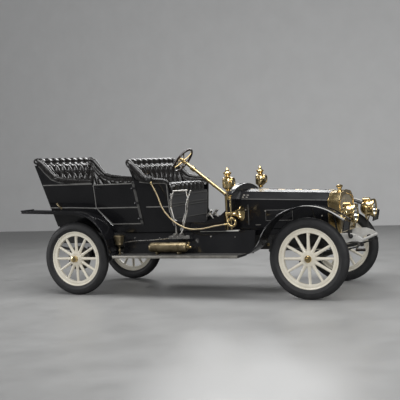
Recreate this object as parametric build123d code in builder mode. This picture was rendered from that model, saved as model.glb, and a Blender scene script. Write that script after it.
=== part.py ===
from build123d import *
import math
import os

os.makedirs("parts", exist_ok=True)

# An open touring car of about 1906: right-hand drive, five seats, wooden wheels, brass fittings.
# X runs forward, Y to the left, Z up from the ground. All sizes are millimetres.
# A length named "..._x" is a place measured forward from the front axle until at() moves it.

# Driving sizes
wheelbase = 3048
track = 1422
tyre_radius = 457
tyre_section = 104
rear_overhang = 722
front_overhang = 533
overall_length = wheelbase + rear_overhang + front_overhang
front_axle_x = overall_length / 2 - front_overhang
rear_axle_x = front_axle_x - wheelbase
clearance = 0.3
joint_gap = 6


def at(x):
    """Place along the car of a point given from the front axle."""
    return front_axle_x + x


def placed(points):
    """Points (x from the front axle, z) as sketch points on the XZ plane."""
    return [(at(x), z) for x, z in points]


def save(piece, name):
    """Label a finished piece and write it."""
    piece.part.label = name
    export_step(piece.part, f"parts/{name}.step")


def side_prism(points, y_low, y_high):
    """A side outline, in placed XZ points, extruded from y_low to y_high."""
    with BuildPart() as prism:
        with BuildSketch(Plane.XZ.offset(-y_high)):
            Polygon(*points, align=None)
        extrude(amount=y_high - y_low)
    return prism.part


def rod(start, end, radius):
    """A round bar between two points."""
    run = Vector(*end) - Vector(*start)
    with BuildPart() as bar:
        with BuildSketch(Plane(origin=start, z_dir=run)):
            Circle(radius)
        extrude(amount=run.length)
    return bar.part


# Frame: two pressed channel rails with dropped horns, cross members between them
rail_top = 700
rail_depth = 108
rail_width = 40
rail_outer_y = 375
rail_wall = 6
rail_front_x = 515
rail_rear_x = -wheelbase - 512
horn_tip_z = 622
rail_bottom = rail_top - rail_depth
rail_kick_x = 330
rail_rise = 30
rail_inner_y = rail_outer_y - rail_width
rail_outline = placed([
    (rail_rear_x, rail_top), (400, rail_top), (470, rail_top - 26), (rail_front_x + 16, horn_tip_z + 8),
    (rail_front_x + 6, horn_tip_z - 14), (rail_front_x - 20, horn_tip_z - 18), (440, rail_bottom + 34),
    (rail_kick_x, rail_bottom), (rail_rear_x, rail_bottom + rail_rise)])
rail_pocket = placed([
    (rail_rear_x + rail_wall, rail_top - rail_wall), (rail_kick_x, rail_top - rail_wall),
    (rail_kick_x, rail_bottom + rail_wall), (rail_rear_x + rail_wall, rail_bottom + rail_rise + rail_wall)])
steer_shaft_x = -560
steer_shaft_z = 646
steer_shaft_radius = 15

with BuildPart() as frame_rails:
    add(side_prism(rail_outline, -rail_outer_y, -rail_inner_y))
    add(side_prism(rail_pocket, -rail_outer_y + rail_wall, -rail_inner_y), mode=Mode.SUBTRACT)
    mirror(about=Plane.XZ)
    add(rod((at(steer_shaft_x), -rail_outer_y - 5, steer_shaft_z),
            (at(steer_shaft_x), -rail_inner_y + 5, steer_shaft_z), steer_shaft_radius + clearance), mode=Mode.SUBTRACT)
save(frame_rails, "frame_rails")

# Members lie inside the channels, under the top flanges. Each row: place along the car, length along X, depth
cross_members = [(200, 60, 80), (-1010, 50, 70), (-2150, 50, 70), (rail_rear_x + 40, 50, 58)]
channel_half = rail_outer_y - rail_wall - clearance
channel_top = rail_top - rail_wall - clearance
horn_bar_radius = 14
with BuildPart() as cross_bars:
    for x, length, depth in cross_members:
        with Locations((at(x), 0, channel_top - depth / 2)):
            Box(length, 2 * channel_half, depth)
    add(rod((at(rail_front_x), -rail_inner_y, horn_tip_z), (at(rail_front_x), rail_inner_y, horn_tip_z),
            horn_bar_radius))
save(cross_bars, "cross_members")

# Front axle: a dropped beam between two kingpin bosses
kingpin_y = 550
kingpin_radius = 12
boss_radius = 24
boss_height = 80
axle_z = tyre_radius
beam_top = 455
beam_depth = 50
beam_width = 44
beam_half = kingpin_y - 50
with BuildPart() as front_axle:
    with BuildSketch(Plane.YZ.offset(at(-beam_width / 2))):
        Polygon(
            (-kingpin_y, axle_z - 30), (-kingpin_y, axle_z + 30), (-beam_half + 10, axle_z + 22),
            (-beam_half + 60, beam_top), (beam_half - 60, beam_top), (beam_half - 10, axle_z + 22),
            (kingpin_y, axle_z + 30), (kingpin_y, axle_z - 30), (beam_half - 10, axle_z - 30),
            (beam_half - 60, beam_top - beam_depth), (-beam_half + 60, beam_top - beam_depth),
            (-beam_half + 10, axle_z - 30), align=None)
    extrude(amount=beam_width)
    for side in (-1, 1):
        with Locations((front_axle_x, side * kingpin_y, axle_z)):
            Cylinder(boss_radius, boss_height)
            Cylinder(kingpin_radius + clearance, boss_height + 4, mode=Mode.SUBTRACT)
save(front_axle, "front_axle")

# Rear axle: tube, differential housing, fixed spindles for the wheels
axle_tube_radius = 36
axle_tube_half = 600
spindle_radius = 20
rear_spindle_end = 775
housing_radius = 135
with BuildPart() as rear_axle:
    add(rod((rear_axle_x, -axle_tube_half, axle_z), (rear_axle_x, axle_tube_half, axle_z), axle_tube_radius))
    add(rod((rear_axle_x, -rear_spindle_end, axle_z), (rear_axle_x, rear_spindle_end, axle_z),
            spindle_radius - clearance))
    with BuildSketch(Plane.XY.offset(axle_z)):
        with BuildLine():
            Polyline((rear_axle_x, -housing_radius), (rear_axle_x + housing_radius * 0.55, -housing_radius * 0.8),
                     (rear_axle_x + housing_radius, -60), (rear_axle_x + housing_radius, 60),
                     (rear_axle_x + housing_radius * 0.55, housing_radius * 0.8),
                     (rear_axle_x, housing_radius), (rear_axle_x, -housing_radius))
        make_face()
    revolve(axis=Axis((rear_axle_x, 0, axle_z), (0, 1, 0)))
save(rear_axle, "rear_axle")

# Leaf springs: front pair under the rails, rear pair on hangers outside them; each leaf shorter than the one above
front_spring_y = 355
rear_spring_y = 432
leaf_width = 45
spring_eye_radius = 18
rear_eye_z = 600
hanger_plate = 16
leaf_count = 6
# Each row: centre y, front eye x, rear eye x, eye z, seat z, pack depth
spring_table = [
    (front_spring_y, rail_front_x, -470, 572, beam_top + 0.5, 42),
    (rear_spring_y, -wheelbase + 560, -wheelbase - 500, rear_eye_z, axle_z + axle_tube_radius + clearance, 46)]
hanger_radius = 9
hanger_low = 578
hanger_length = 16
front_shackle_x = spring_table[0][2]
# Top of each front hanger, just under the horn and just under the rail
front_hangers = [
    (rail_front_x, horn_tip_z - 16.4),
    (front_shackle_x, rail_bottom + rail_rise * (rail_kick_x - front_shackle_x) / (rail_kick_x - rail_rear_x)
     - clearance)]
with BuildPart() as springs:
    for centre_y, front_eye, rear_eye, eye_z, seat, depth in spring_table:
        half_span = (front_eye - rear_eye) / 2
        sag = eye_z - seat - depth
        bend = (half_span ** 2 + sag ** 2) / (2 * sag)
        middle = (at((front_eye + rear_eye) / 2), seat + depth + bend)
        for leaf in range(leaf_count):
            reach = math.asin(half_span / bend) * (1 - leaf / (leaf_count + 1))
            upper, lower = [
                [(middle[0] + radius * math.sin(turn), middle[1] - radius * math.cos(turn))
                 for turn in (-reach, 0, reach)]
                for radius in (bend + depth * leaf / leaf_count, bend + depth * (leaf + 1) / leaf_count)]
            with BuildSketch(Plane.XZ.offset(centre_y - leaf_width / 2)):
                with BuildLine():
                    ThreePointArc(*upper)
                    ThreePointArc(*lower)
                    Line(upper[0], lower[0])
                    Line(upper[2], lower[2])
                make_face()
            extrude(amount=leaf_width)
        for eye in (front_eye, rear_eye):
            add(rod((at(eye), -centre_y - leaf_width / 2, eye_z), (at(eye), -centre_y + leaf_width / 2, eye_z),
                    spring_eye_radius))
    for eye, hanger_top in front_hangers:
        with Locations((at(eye), -front_spring_y, (hanger_top + hanger_low) / 2)):
            Box(hanger_length, rail_width - 6, hanger_top - hanger_low)
    for eye in spring_table[1][1:3]:
        add(rod((at(eye), -rear_spring_y, rear_eye_z), (at(eye), -rail_outer_y, rear_eye_z), hanger_radius))
        with Locations((at(eye), -rail_outer_y - hanger_plate / 2, rear_eye_z + 20)):
            Box(60, hanger_plate, 80)
    mirror(about=Plane.XZ)
save(springs, "springs")

# Engine as one plain block, and the gearbox with its shafts
engine_front_x = 20
engine_rear_x = -880
engine_half_width = 175
engine_bottom = 505
engine_top = 1040
arm_length_x = 60
arm_depth = 36
engine_arms = (-150, -750)
with BuildPart() as engine:
    for x in engine_arms:
        with Locations((at(x), 0, channel_top - arm_depth / 2)):
            Box(arm_length_x, 2 * channel_half, arm_depth)
    with Locations((at((engine_front_x + engine_rear_x) / 2), 0, (engine_bottom + engine_top) / 2)):
        Box(engine_front_x - engine_rear_x, 2 * engine_half_width, engine_top - engine_bottom)
save(engine, "engine_block")

gearbox_front_x = -1380
gearbox_rear_x = -1780
shaft_z = 560
shaft_radius = 26
with BuildPart() as transmission:
    with Locations((at((gearbox_front_x + gearbox_rear_x) / 2), 0, channel_top - arm_depth / 2)):
        Box(arm_length_x, 2 * channel_half, arm_depth)
    with Locations((at((gearbox_front_x + gearbox_rear_x) / 2), 0, 600)):
        Box(gearbox_front_x - gearbox_rear_x, 290, 190)
    add(rod((at(engine_rear_x), 0, shaft_z), (at(gearbox_front_x), 0, shaft_z), shaft_radius))
    add(rod((at(gearbox_rear_x), 0, shaft_z), (rear_axle_x + housing_radius + 0.1, 0, axle_z + 10),
            shaft_radius))
save(transmission, "gearbox_and_shaft")

# Bonnet: two halves hinged on a rod along the ridge. Each row is half of a section: y, z
section_rear_x = -985
section_front_x = 265
ledge_top = 765
hood_sheet = 6
hood_rear_x = -920
hood_front_x = 122
radiator_rear_x = 130
radiator_front_x = section_front_x
rear_half = [(8, 1236), (225, 1212), (352, 1130), (352, ledge_top)]
front_half = [(8, 1176), (190, 1154), (312, 1074), (312, ledge_top)]


def hood_half(x, inset=0.0, rod_gap=None):
    """Half a bonnet section at x, from the ridge down, moved inward by inset."""
    share = (x - section_rear_x) / (section_front_x - section_rear_x)
    points = []
    for (y_rear, z_rear), (y_front, z_front) in zip(rear_half, front_half):
        points.append((y_rear + share * (y_front - y_rear), z_rear + share * (z_front - z_rear)))
    if rod_gap is not None:
        points[0] = (rod_gap, points[0][1])
    (ridge_y, ridge_z), (high_y, high_z), (low_y, low_z), (foot_y, foot_z) = points
    return [(ridge_y, ridge_z - inset), (high_y - 0.35 * inset, high_z - inset),
            (low_y - inset, low_z - 0.5 * inset), (foot_y - inset, foot_z)]


hood_seat_gap = 5
rod_radius = 5
rod_drop = 3
barrel_radius = 9
barrel_gap = 12
barrel_length = 120
ridge_rear_z = hood_half(hood_rear_x)[0][1]
ridge_front_z = hood_half(hood_front_x)[0][1]
ridge_slope = (ridge_front_z - ridge_rear_z) / (hood_front_x - hood_rear_x)


def ridge_point(x):
    """Point on the hinge rod's axis."""
    return (at(x), 0, ridge_rear_z + ridge_slope * (x - hood_rear_x) - rod_drop)


def bonnet(barrel_starts):
    """Right half of the bonnet, with the hinge barrels that start at these places."""
    with BuildPart() as half:
        for x in (hood_rear_x, hood_front_x):
            outer = hood_half(x, 0, barrel_gap)
            inner = hood_half(x, hood_sheet, barrel_gap)
            outer[-1] = (outer[-1][0], ledge_top + hood_seat_gap)
            inner[-1] = (inner[-1][0], ledge_top + hood_seat_gap)
            ring = outer + inner[::-1]
            with BuildSketch(Plane.YZ.offset(at(x))):
                Polygon(*[(-y, z) for y, z in ring], align=None)
        loft(ruled=True)
        for x in barrel_starts:
            add(rod(ridge_point(x), ridge_point(x + barrel_length), barrel_radius))
            middle = Vector(*ridge_point(x + barrel_length / 2)) - Vector(0, barrel_gap - 2, 0)
            with Locations(Location(tuple(middle), (0, -math.degrees(math.atan(ridge_slope)), 0))):
                Box(barrel_length, 8, 5)
        add(rod(ridge_point(hood_rear_x - 5), ridge_point(hood_front_x + 5), rod_radius + clearance),
            mode=Mode.SUBTRACT)
    return half


hood_right = bonnet((-900, -480, -60))
save(hood_right, "hood_right")
with BuildPart() as hood_left:
    mirror(bonnet((-690, -270)).part, about=Plane.XZ)
save(hood_left, "hood_left")

# Rod that the bonnet halves swing on, from the dash band to the radiator
with BuildPart() as hood_rod:
    add(rod(ridge_point(hood_rear_x - 1.5), ridge_point(radiator_rear_x - 0.5), rod_radius))
save(hood_rod, "hood_rod")

# Wooden ledges on the rails, where the bonnet's lower edges rest
ledge_inner_y = 300
ledge_outer_y = 388
with BuildPart() as hood_ledges:
    with Locations((at((section_rear_x + radiator_rear_x) / 2), -(ledge_inner_y + ledge_outer_y) / 2,
                    (rail_top + ledge_top) / 2)):
        Box(radiator_rear_x - section_rear_x, ledge_outer_y - ledge_inner_y, ledge_top - rail_top)
    mirror(about=Plane.XZ)
save(hood_ledges, "hood_ledges")

# Radiator: brass shell with a window at the front, honeycomb core, filler neck on top
radiator_bottom = rail_top
window_inset = 36
window_sill = 42
window_drop = 40
core_gap = 0.5
filler_x = 188
filler_top = 1240
shell_back = 12
with BuildPart() as radiator_shell:
    front_ring = hood_half(section_front_x)
    outline = [(y, z) for y, z in front_ring[1:-1]] + [(front_ring[-1][0], radiator_bottom)]
    outline = [(0, front_ring[0][1] + 6)] + [(y + 6, z + 6) for y, z in outline[:-1]]
    outline = outline + [(front_ring[-1][0] + 6, radiator_bottom)]
    full = outline + [(-y, z) for y, z in outline[:0:-1]]
    with BuildSketch(Plane.YZ.offset(at(radiator_rear_x))):
        Polygon(*full, align=None)
    extrude(amount=radiator_front_x - radiator_rear_x)
    window = [(0, outline[0][1] - window_drop), (outline[1][0] - 18, outline[1][1] - window_drop),
              (outline[2][0] - window_inset, outline[2][1] - window_inset + 8),
              (outline[2][0] - window_inset, radiator_bottom + window_sill)]
    window_full = window + [(-y, z) for y, z in window[:0:-1]]
    with BuildSketch(Plane.YZ.offset(at(radiator_rear_x + shell_back))):
        Polygon(*window_full, align=None)
    extrude(amount=radiator_front_x - radiator_rear_x, mode=Mode.SUBTRACT)
    with Locations((at(filler_x), 0, filler_top - 42)):
        Cylinder(24, 60)
    with Locations((at(filler_x), 0, filler_top - 11)):
        Cylinder(34, 22)
save(radiator_shell, "radiator_shell")

core_front_x = radiator_front_x - 14
fin_pitch = 20
fin_thick = 5
fin_depth = 8
fin_count = 28
with BuildPart() as radiator_core:
    with BuildSketch(Plane.YZ.offset(at(radiator_rear_x + shell_back))):
        Polygon(*window_full, align=None)
        offset(amount=-core_gap, mode=Mode.REPLACE)
    extrude(amount=core_front_x - radiator_rear_x - shell_back)
    # Grooves between the upright fins of the core's face
    with Locations((at(core_front_x - fin_depth / 2), 0, (radiator_bottom + ledge_top + rail_depth) / 2)):
        with GridLocations(0, fin_pitch, 1, fin_count):
            Box(fin_depth, fin_pitch - fin_thick, section_front_x * 4, mode=Mode.SUBTRACT)
save(radiator_core, "radiator_core")

# Starting crank, hanging below the radiator on a fixed sleeve
crank_z = 560
with BuildPart() as crank:
    add(rod((at(engine_front_x), 0, crank_z), (at(405), 0, crank_z), 13))
    add(rod((at(398), 0, crank_z), (at(398), -165, crank_z - 70), 11))
    add(rod((at(390), -160, crank_z - 68), (at(500), -160, crank_z - 68), 14))
save(crank, "starting_crank")

# Dash board: thick arched board with the band that the bonnet shuts on
dash_rear_x = -1062
dash_front_x = section_rear_x
dash_half_width = 500
dash_bottom = ledge_top
dash_side_top = 1182
dash_middle_top = 1302
with BuildPart() as dash:
    with BuildSketch(Plane.YZ.offset(at(dash_rear_x))):
        with BuildLine():
            Polyline((-dash_half_width, dash_side_top), (-dash_half_width, dash_bottom),
                     (dash_half_width, dash_bottom), (dash_half_width, dash_side_top))
            ThreePointArc((dash_half_width, dash_side_top), (0, dash_middle_top),
                          (-dash_half_width, dash_side_top))
        make_face()
    extrude(amount=dash_front_x - dash_rear_x)
    band_end_x = hood_rear_x - 2
    for x in (section_rear_x, band_end_x):
        outer = hood_half(x, 0, 0)
        full = outer + [(-y, z) for y, z in outer[:0:-1]]
        with BuildSketch(Plane.YZ.offset(at(x))):
            Polygon(*full, align=None)
    loft(ruled=True)
    for x in (section_rear_x, band_end_x):
        inner = hood_half(x, 14, 0)
        full = inner + [(-y, z) for y, z in inner[:0:-1]]
        with BuildSketch(Plane.YZ.offset(at(x))):
            Polygon(*full, align=None)
    loft(ruled=True, mode=Mode.SUBTRACT)
# Steering column passes through the dash
column_y = -270
wheel_hub_x = -1705
wheel_hub_z = 1624
column_slope = 38.5
column_radius = 19
column_dir = (-math.cos(math.radians(column_slope)), 0, math.sin(math.radians(column_slope)))
wheel_hub = (at(wheel_hub_x), column_y, wheel_hub_z)


def on_column(distance):
    """Point on the column, this far down from the steering wheel's hub."""
    return tuple(wheel_hub[i] - distance * column_dir[i] for i in range(3))


column_length = 1500
with BuildPart() as dashboard:
    add(dash.part)
    add(rod(on_column(500), on_column(1100), column_radius + 2), mode=Mode.SUBTRACT)
save(dashboard, "dashboard")

box_top = rail_top - 5
with BuildPart() as column:
    add(rod(on_column(30 + clearance), on_column(column_length), column_radius))
    add(rod(on_column(150), on_column(190), column_radius + 10))
    with Locations((at(steer_shaft_x), -270, (560 + box_top) / 2)):
        Box(150, 110, box_top - 560)
    add(rod((at(steer_shaft_x), -300, steer_shaft_z), (at(steer_shaft_x), -rail_outer_y - 8.7, steer_shaft_z),
            steer_shaft_radius))
save(column, "steering_column")

# Steering wheel: rim on four spokes, turning about the column
rim_radius = 165
rim_section = 13
wheel_plane = Plane(origin=wheel_hub, x_dir=(0, 1, 0), z_dir=column_dir)
with BuildPart() as steering_wheel:
    with BuildSketch(Plane(origin=wheel_hub, x_dir=(0, 1, 0), z_dir=wheel_plane.y_dir)):
        with Locations((rim_radius, 0)):
            RegularPolygon(rim_section, 8)
    revolve(axis=Axis(wheel_hub, column_dir))
    add(rod(on_column(30), on_column(-22), 30))
    for turn in range(4):
        angle = math.radians(45 + 90 * turn)
        reach = wheel_plane.x_dir * math.cos(angle) + wheel_plane.y_dir * math.sin(angle)
        tip = Vector(*wheel_hub) + reach * (rim_radius - 6)
        add(rod(wheel_hub, tuple(tip), 8))
save(steering_wheel, "steering_wheel")

# Pitman arm beside the rail, with the drag link forward to the right knuckle
pitman_y = -390
pitman_thick = 12
pitman_length = 130
drag_y = -409
link_eye_radius = 17
link_pin_radius = 8
pitman_low_z = steer_shaft_z - pitman_length
arm_plate = 20
drag_arm_z = axle_z + 53
with BuildPart() as pitman:
    add(rod((at(steer_shaft_x), pitman_y - pitman_thick / 2, steer_shaft_z),
            (at(steer_shaft_x), pitman_y + pitman_thick / 2, steer_shaft_z), 23))
    add(rod((at(steer_shaft_x), pitman_y - pitman_thick / 2, pitman_low_z),
            (at(steer_shaft_x), pitman_y + pitman_thick / 2, pitman_low_z), 16))
    with Locations((at(steer_shaft_x), pitman_y, steer_shaft_z - pitman_length / 2)):
        Box(24, pitman_thick, pitman_length)
    add(rod((at(steer_shaft_x), pitman_y, pitman_low_z), (at(steer_shaft_x), drag_y - 14, pitman_low_z),
            link_pin_radius - clearance))
save(pitman, "pitman_arm")

link_front_z = drag_arm_z + arm_plate + 16
with BuildPart() as drag_link:
    add(rod((at(steer_shaft_x), drag_y - 11, pitman_low_z), (at(steer_shaft_x), drag_y + 11, pitman_low_z),
            link_eye_radius))
    add(rod((at(steer_shaft_x + 8), drag_y, pitman_low_z), (at(-8), drag_y, link_front_z), 10))
    add(rod((front_axle_x, drag_y, link_front_z - 11), (front_axle_x, drag_y, link_front_z + 11), 16))
    add(rod((at(steer_shaft_x), drag_y - 15, pitman_low_z), (at(steer_shaft_x), drag_y + 15, pitman_low_z),
            link_pin_radius), mode=Mode.SUBTRACT)
save(drag_link, "drag_link")

# Knuckles: forked over the axle's bosses, with the wheel spindle, kingpin and arms
ear_thick = 20
ear_gap = 3
ear_radius = 24
fork_y = kingpin_y + 44
fork_thick = 18
front_spindle_end = 755
arm_length = 150
rod_eye_radius = 18
rod_pin_radius = 8
rod_z = axle_z - boss_height / 2 - ear_gap - ear_thick - 14
ear_low = axle_z - boss_height / 2 - ear_gap - ear_thick
ear_high = axle_z + boss_height / 2 + ear_gap


def knuckle(side):
    """Knuckle of one side: -1 right, 1 left. The right one carries the drag link's arm."""
    pin = (front_axle_x, side * kingpin_y)
    with BuildPart() as piece:
        add(rod((*pin, ear_low), (*pin, ear_high + ear_thick), kingpin_radius))
        for low in (ear_low, ear_high):
            add(rod((*pin, low), (*pin, low + ear_thick), ear_radius))
            with Locations((front_axle_x, side * (kingpin_y + fork_y) / 2, low + ear_thick / 2)):
                Box(2 * ear_radius, fork_y - kingpin_y, ear_thick)
        with Locations((front_axle_x, side * fork_y, axle_z)):
            Box(2 * ear_radius, fork_thick, ear_high + ear_thick - ear_low)
        add(rod((front_axle_x, side * fork_y, axle_z), (front_axle_x, side * front_spindle_end, axle_z),
                spindle_radius - clearance))
        add(rod((front_axle_x, side * fork_y, axle_z), (front_axle_x, side * (track / 2 - 62), axle_z), 30))
        with Locations((at(-arm_length / 2), side * kingpin_y, ear_low + ear_thick / 2)):
            Box(arm_length, 26, ear_thick)
        add(rod((at(-arm_length), side * kingpin_y, ear_low), (at(-arm_length), side * kingpin_y,
                ear_low + ear_thick), rod_eye_radius))
        add(rod((at(-arm_length), side * kingpin_y, rod_z - 12), (at(-arm_length), side * kingpin_y, ear_low + 5),
                rod_pin_radius))
        if side < 0:
            with Locations((front_axle_x, (drag_y - kingpin_y) / 2, ear_high + ear_thick / 2)):
                Box(26, kingpin_y + drag_y, ear_thick)
            add(rod((front_axle_x, drag_y, ear_high), (front_axle_x, drag_y, ear_high + ear_thick), 14))
    return piece


save(knuckle(-1), "knuckle_right")
save(knuckle(1), "knuckle_left")

with BuildPart() as tie_rod:
    for side in (-1, 1):
        add(rod((at(-arm_length), side * kingpin_y, rod_z - 10), (at(-arm_length), side * kingpin_y, rod_z + 10),
                rod_eye_radius))
    add(rod((at(-arm_length), -kingpin_y, rod_z), (at(-arm_length), kingpin_y, rod_z), 9))
    for side in (-1, 1):
        add(rod((at(-arm_length), side * kingpin_y, rod_z - 15), (at(-arm_length), side * kingpin_y, rod_z + 15),
                rod_pin_radius + 2 * clearance), mode=Mode.SUBTRACT)
save(tie_rod, "tie_rod")

# Wheels: wooden spokes between hub and felloe, steel rim, pneumatic tyre
spoke_count = 12
rim_seat_radius = 340
felloe_outer = 330
felloe_inner = 289
felloe_half = 24
rim_half = 31
hub_flange_radius = 88
hub_flange_half = 30
hub_radius = 42
hub_inner_end = 60
spoke_root = 60
spoke_thick = 17
drum_radius = 150
# Half of the tyre's section from the tread to the bead: side place, radius
tyre_half = [
    (12, tyre_radius), (tyre_section / 2 - 17, tyre_radius - 12), (tyre_section / 2 - 3, tyre_radius - 38),
    (tyre_section / 2, tyre_radius - 72), (tyre_section / 2 - 10, rim_seat_radius + 16),
    (rim_half - 3, rim_seat_radius + 0.05)]
tyre_sides = 60


def tyre_ring():
    """Tyre about the Y axis, as equal straight lengths mitred together, each flat at the tyre's true radius."""
    half_turn = math.pi / tyre_sides
    stretch = 1 / math.cos(half_turn)
    section = [(y, r * stretch) for y, r in tyre_half] + [(-y, r * stretch) for y, r in tyre_half[::-1]]
    with BuildPart() as length:
        for turn in (-half_turn, half_turn):
            across = Vector(math.cos(turn), 0, -math.sin(turn))
            with BuildSketch(Plane(origin=(0, 0, 0), x_dir=(0, 1, 0), z_dir=across)):
                Polygon(*section, align=None)
        loft(ruled=True)
    with BuildPart() as ring:
        add([length.part.rotate(Axis.Y, 360 * count / tyre_sides) for count in range(tyre_sides)])
    return ring.part


plain_tyre = tyre_ring()
# Each row: name, axle x, side, outer end of the hub, drum or none
wheel_table = [
    ("front_right", front_axle_x, -1, 66, False), ("front_left", front_axle_x, 1, 66, False),
    ("rear_right", rear_axle_x, -1, 92, True), ("rear_left", rear_axle_x, 1, 92, True)]

for name, x, side, hub_end, has_drum in wheel_table:
    centre = (x, side * track / 2, axle_z)
    turn_axis = Axis(centre, (0, side, 0))
    # Sketch axes: first outward along the axle, second along the radius
    radial = Plane(origin=centre, x_dir=(0, side, 0), z_dir=(side, 0, 0))
    with BuildPart() as wheel:
        with BuildSketch(radial):
            Polygon((-felloe_half, felloe_inner), (-felloe_half, felloe_outer), (-rim_half, felloe_outer),
                    (-rim_half, rim_seat_radius), (rim_half, rim_seat_radius), (rim_half, felloe_outer),
                    (felloe_half, felloe_outer), (felloe_half, felloe_inner), align=None)
            Polygon((-hub_inner_end, 0), (-hub_inner_end, hub_radius), (-hub_flange_half, hub_radius),
                    (-hub_flange_half, hub_flange_radius), (hub_flange_half, hub_flange_radius),
                    (hub_flange_half, hub_radius), (hub_end - 22, hub_radius - 8), (hub_end - 4, hub_radius - 12),
                    (hub_end, hub_radius - 18), (hub_end, 0), align=None)
            if has_drum:
                Polygon((-hub_inner_end - 24, 60), (-hub_inner_end - 24, drum_radius), (-hub_flange_half - 2,
                        drum_radius), (-hub_flange_half - 2, 30), (-hub_inner_end, 30), (-hub_inner_end, 60),
                        align=None)
        revolve(axis=turn_axis)
        for spoke in range(spoke_count):
            angle = 2 * math.pi * spoke / spoke_count
            reach = Vector(math.sin(angle), 0, math.cos(angle))
            root = Vector(*centre) + reach * spoke_root
            with BuildSketch(Plane(origin=root, x_dir=(0, 1, 0), z_dir=reach)):
                RegularPolygon(spoke_thick, 8)
            extrude(amount=felloe_inner + 8 - spoke_root, taper=0.8)
        with BuildSketch(radial):
            Polygon((-hub_inner_end - 1, 0), (-hub_inner_end - 1, spindle_radius), (hub_end - 16, spindle_radius),
                    (hub_end - 16, 0), align=None)
        revolve(axis=turn_axis, mode=Mode.SUBTRACT)
    save(wheel, f"wheel_{name}")
    with BuildPart() as tyre:
        with Locations(centre):
            add(plain_tyre)
    save(tyre, f"tyre_{name}")

# Fenders, running boards and splash aprons: sheet pieces along each side
fender_inner_y = 580
fender_outer_y = 852
sheet = 6
board_top = 505
board_thick = 26
front_arc_radius = 585
front_arc_x = 20
front_blend = 300
rear_arc_radius = 550
rear_arc_z = 505
rear_blend = 50
fender_tip_angle = 44.3
fender_tip_radius = front_arc_radius + 18
flap_low_x = 430
flap_low_z = 766
tail_end_x = -wheelbase - rear_overhang
tail_end_z = 1083


def circle_point(x, z, radius, degrees):
    """Point on a circle about (x, z), the angle counted from forward towards up."""
    angle = math.radians(degrees)
    return (at(x) + radius * math.cos(angle), z + radius * math.sin(angle))


front_centre_z = axle_z
front_join_z = board_top + front_blend - front_centre_z
front_join_run = math.sqrt((front_arc_radius + front_blend) ** 2 - front_join_z ** 2)
board_front_x = front_arc_x - front_join_run
front_join_angle = 180 - math.degrees(math.atan2(front_join_z, front_join_run))
rear_join_run = math.sqrt((rear_arc_radius + rear_blend) ** 2 - rear_blend ** 2)
board_rear_x = -wheelbase + rear_join_run
rear_join_angle = math.degrees(math.atan2(rear_blend, rear_join_run))
tail_angle = 92.5


def fender(name, lines):
    """Both fenders of one axle: the line in side view, thickened and carried across."""
    with BuildPart() as pair:
        with BuildSketch(Plane.XZ.offset(fender_inner_y)):
            with BuildLine():
                lines()
                offset(amount=sheet, side=Side.LEFT)
            make_face()
        extrude(amount=fender_outer_y - fender_inner_y)
        mirror(about=Plane.XZ)
    save(pair, name)


def front_fender_line():
    """From the flap at the tip over the wheel and down to the running board."""
    tip = circle_point(front_arc_x, front_centre_z, fender_tip_radius, fender_tip_angle)
    start = circle_point(front_arc_x, front_centre_z, front_arc_radius, fender_tip_angle + 16)
    top = circle_point(front_arc_x, front_centre_z, front_arc_radius, 110)
    join = circle_point(front_arc_x, front_centre_z, front_arc_radius, front_join_angle)
    Line((at(flap_low_x), flap_low_z), tip)
    Line(tip, start)
    ThreePointArc(start, top, join)
    blend_middle = circle_point(board_front_x, board_top + front_blend, front_blend,
                                front_join_angle - 180 - (front_join_angle - 180 + 90) / 2)
    ThreePointArc(join, blend_middle, (at(board_front_x), board_top))


def rear_fender_line():
    """From the running board over the wheel to the flat tail."""
    start = (at(board_rear_x), board_top)
    join = circle_point(-wheelbase, rear_arc_z, rear_arc_radius, rear_join_angle)
    middle = circle_point(board_rear_x, board_top + rear_blend, rear_blend, 225)
    top = circle_point(-wheelbase, rear_arc_z, rear_arc_radius, 50)
    tail = circle_point(-wheelbase, rear_arc_z, rear_arc_radius, tail_angle)
    ThreePointArc(start, middle, join)
    ThreePointArc(join, top, tail)
    Line(tail, (at(tail_end_x), tail_end_z))


fender("fenders_front", front_fender_line)
fender("fenders_rear", rear_fender_line)

with BuildPart() as running_boards:
    with Locations((at((board_front_x + board_rear_x) / 2), -(fender_inner_y + fender_outer_y) / 2,
                    board_top - board_thick / 2)):
        Box(board_front_x - board_rear_x, fender_outer_y - fender_inner_y, board_thick)
    mirror(about=Plane.XZ)
save(running_boards, "running_boards")

apron_sheet = 5
apron_front_x = -700
apron_rear_x = board_rear_x + 10
apron_top_y = 500
with BuildPart() as aprons:
    with BuildSketch(Plane.YZ.offset(at(apron_rear_x))):
        Polygon((-rail_outer_y - 14, ledge_top - apron_sheet), (-rail_outer_y - 14, ledge_top),
                (-apron_top_y - 4, ledge_top), (-fender_inner_y, board_top + 4), (-fender_inner_y, board_top),
                (-fender_inner_y + apron_sheet, board_top), (-apron_top_y, ledge_top - apron_sheet), align=None)
    extrude(amount=apron_front_x - apron_rear_x)
    mirror(about=Plane.XZ)
save(aprons, "splash_aprons")

# Body: sides lean outward from the sill to the belt and on up to the seat tops
panel_thick = 30
lean = 0.134
lean_datum_z = 830
lean_datum_y = 545
lean_length = math.hypot(1, lean)
floor_bottom = ledge_top
floor_thick = 25
sill_top = 855
body_rear_x = -wheelbase - 357
body_front_x = dash_rear_x


def side_y(z, inset=0.0):
    """Distance of the body's outer side from the middle at height z."""
    return lean_datum_y + lean * (z - lean_datum_z) - inset


def lean_plane(side, inset=0.0):
    """Plane on a body side: first axis forward, second up the side, third outward."""
    return Plane(origin=(0, side * side_y(0, inset), 0), x_dir=(-side, 0, 0), z_dir=(0, side, -lean))


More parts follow.
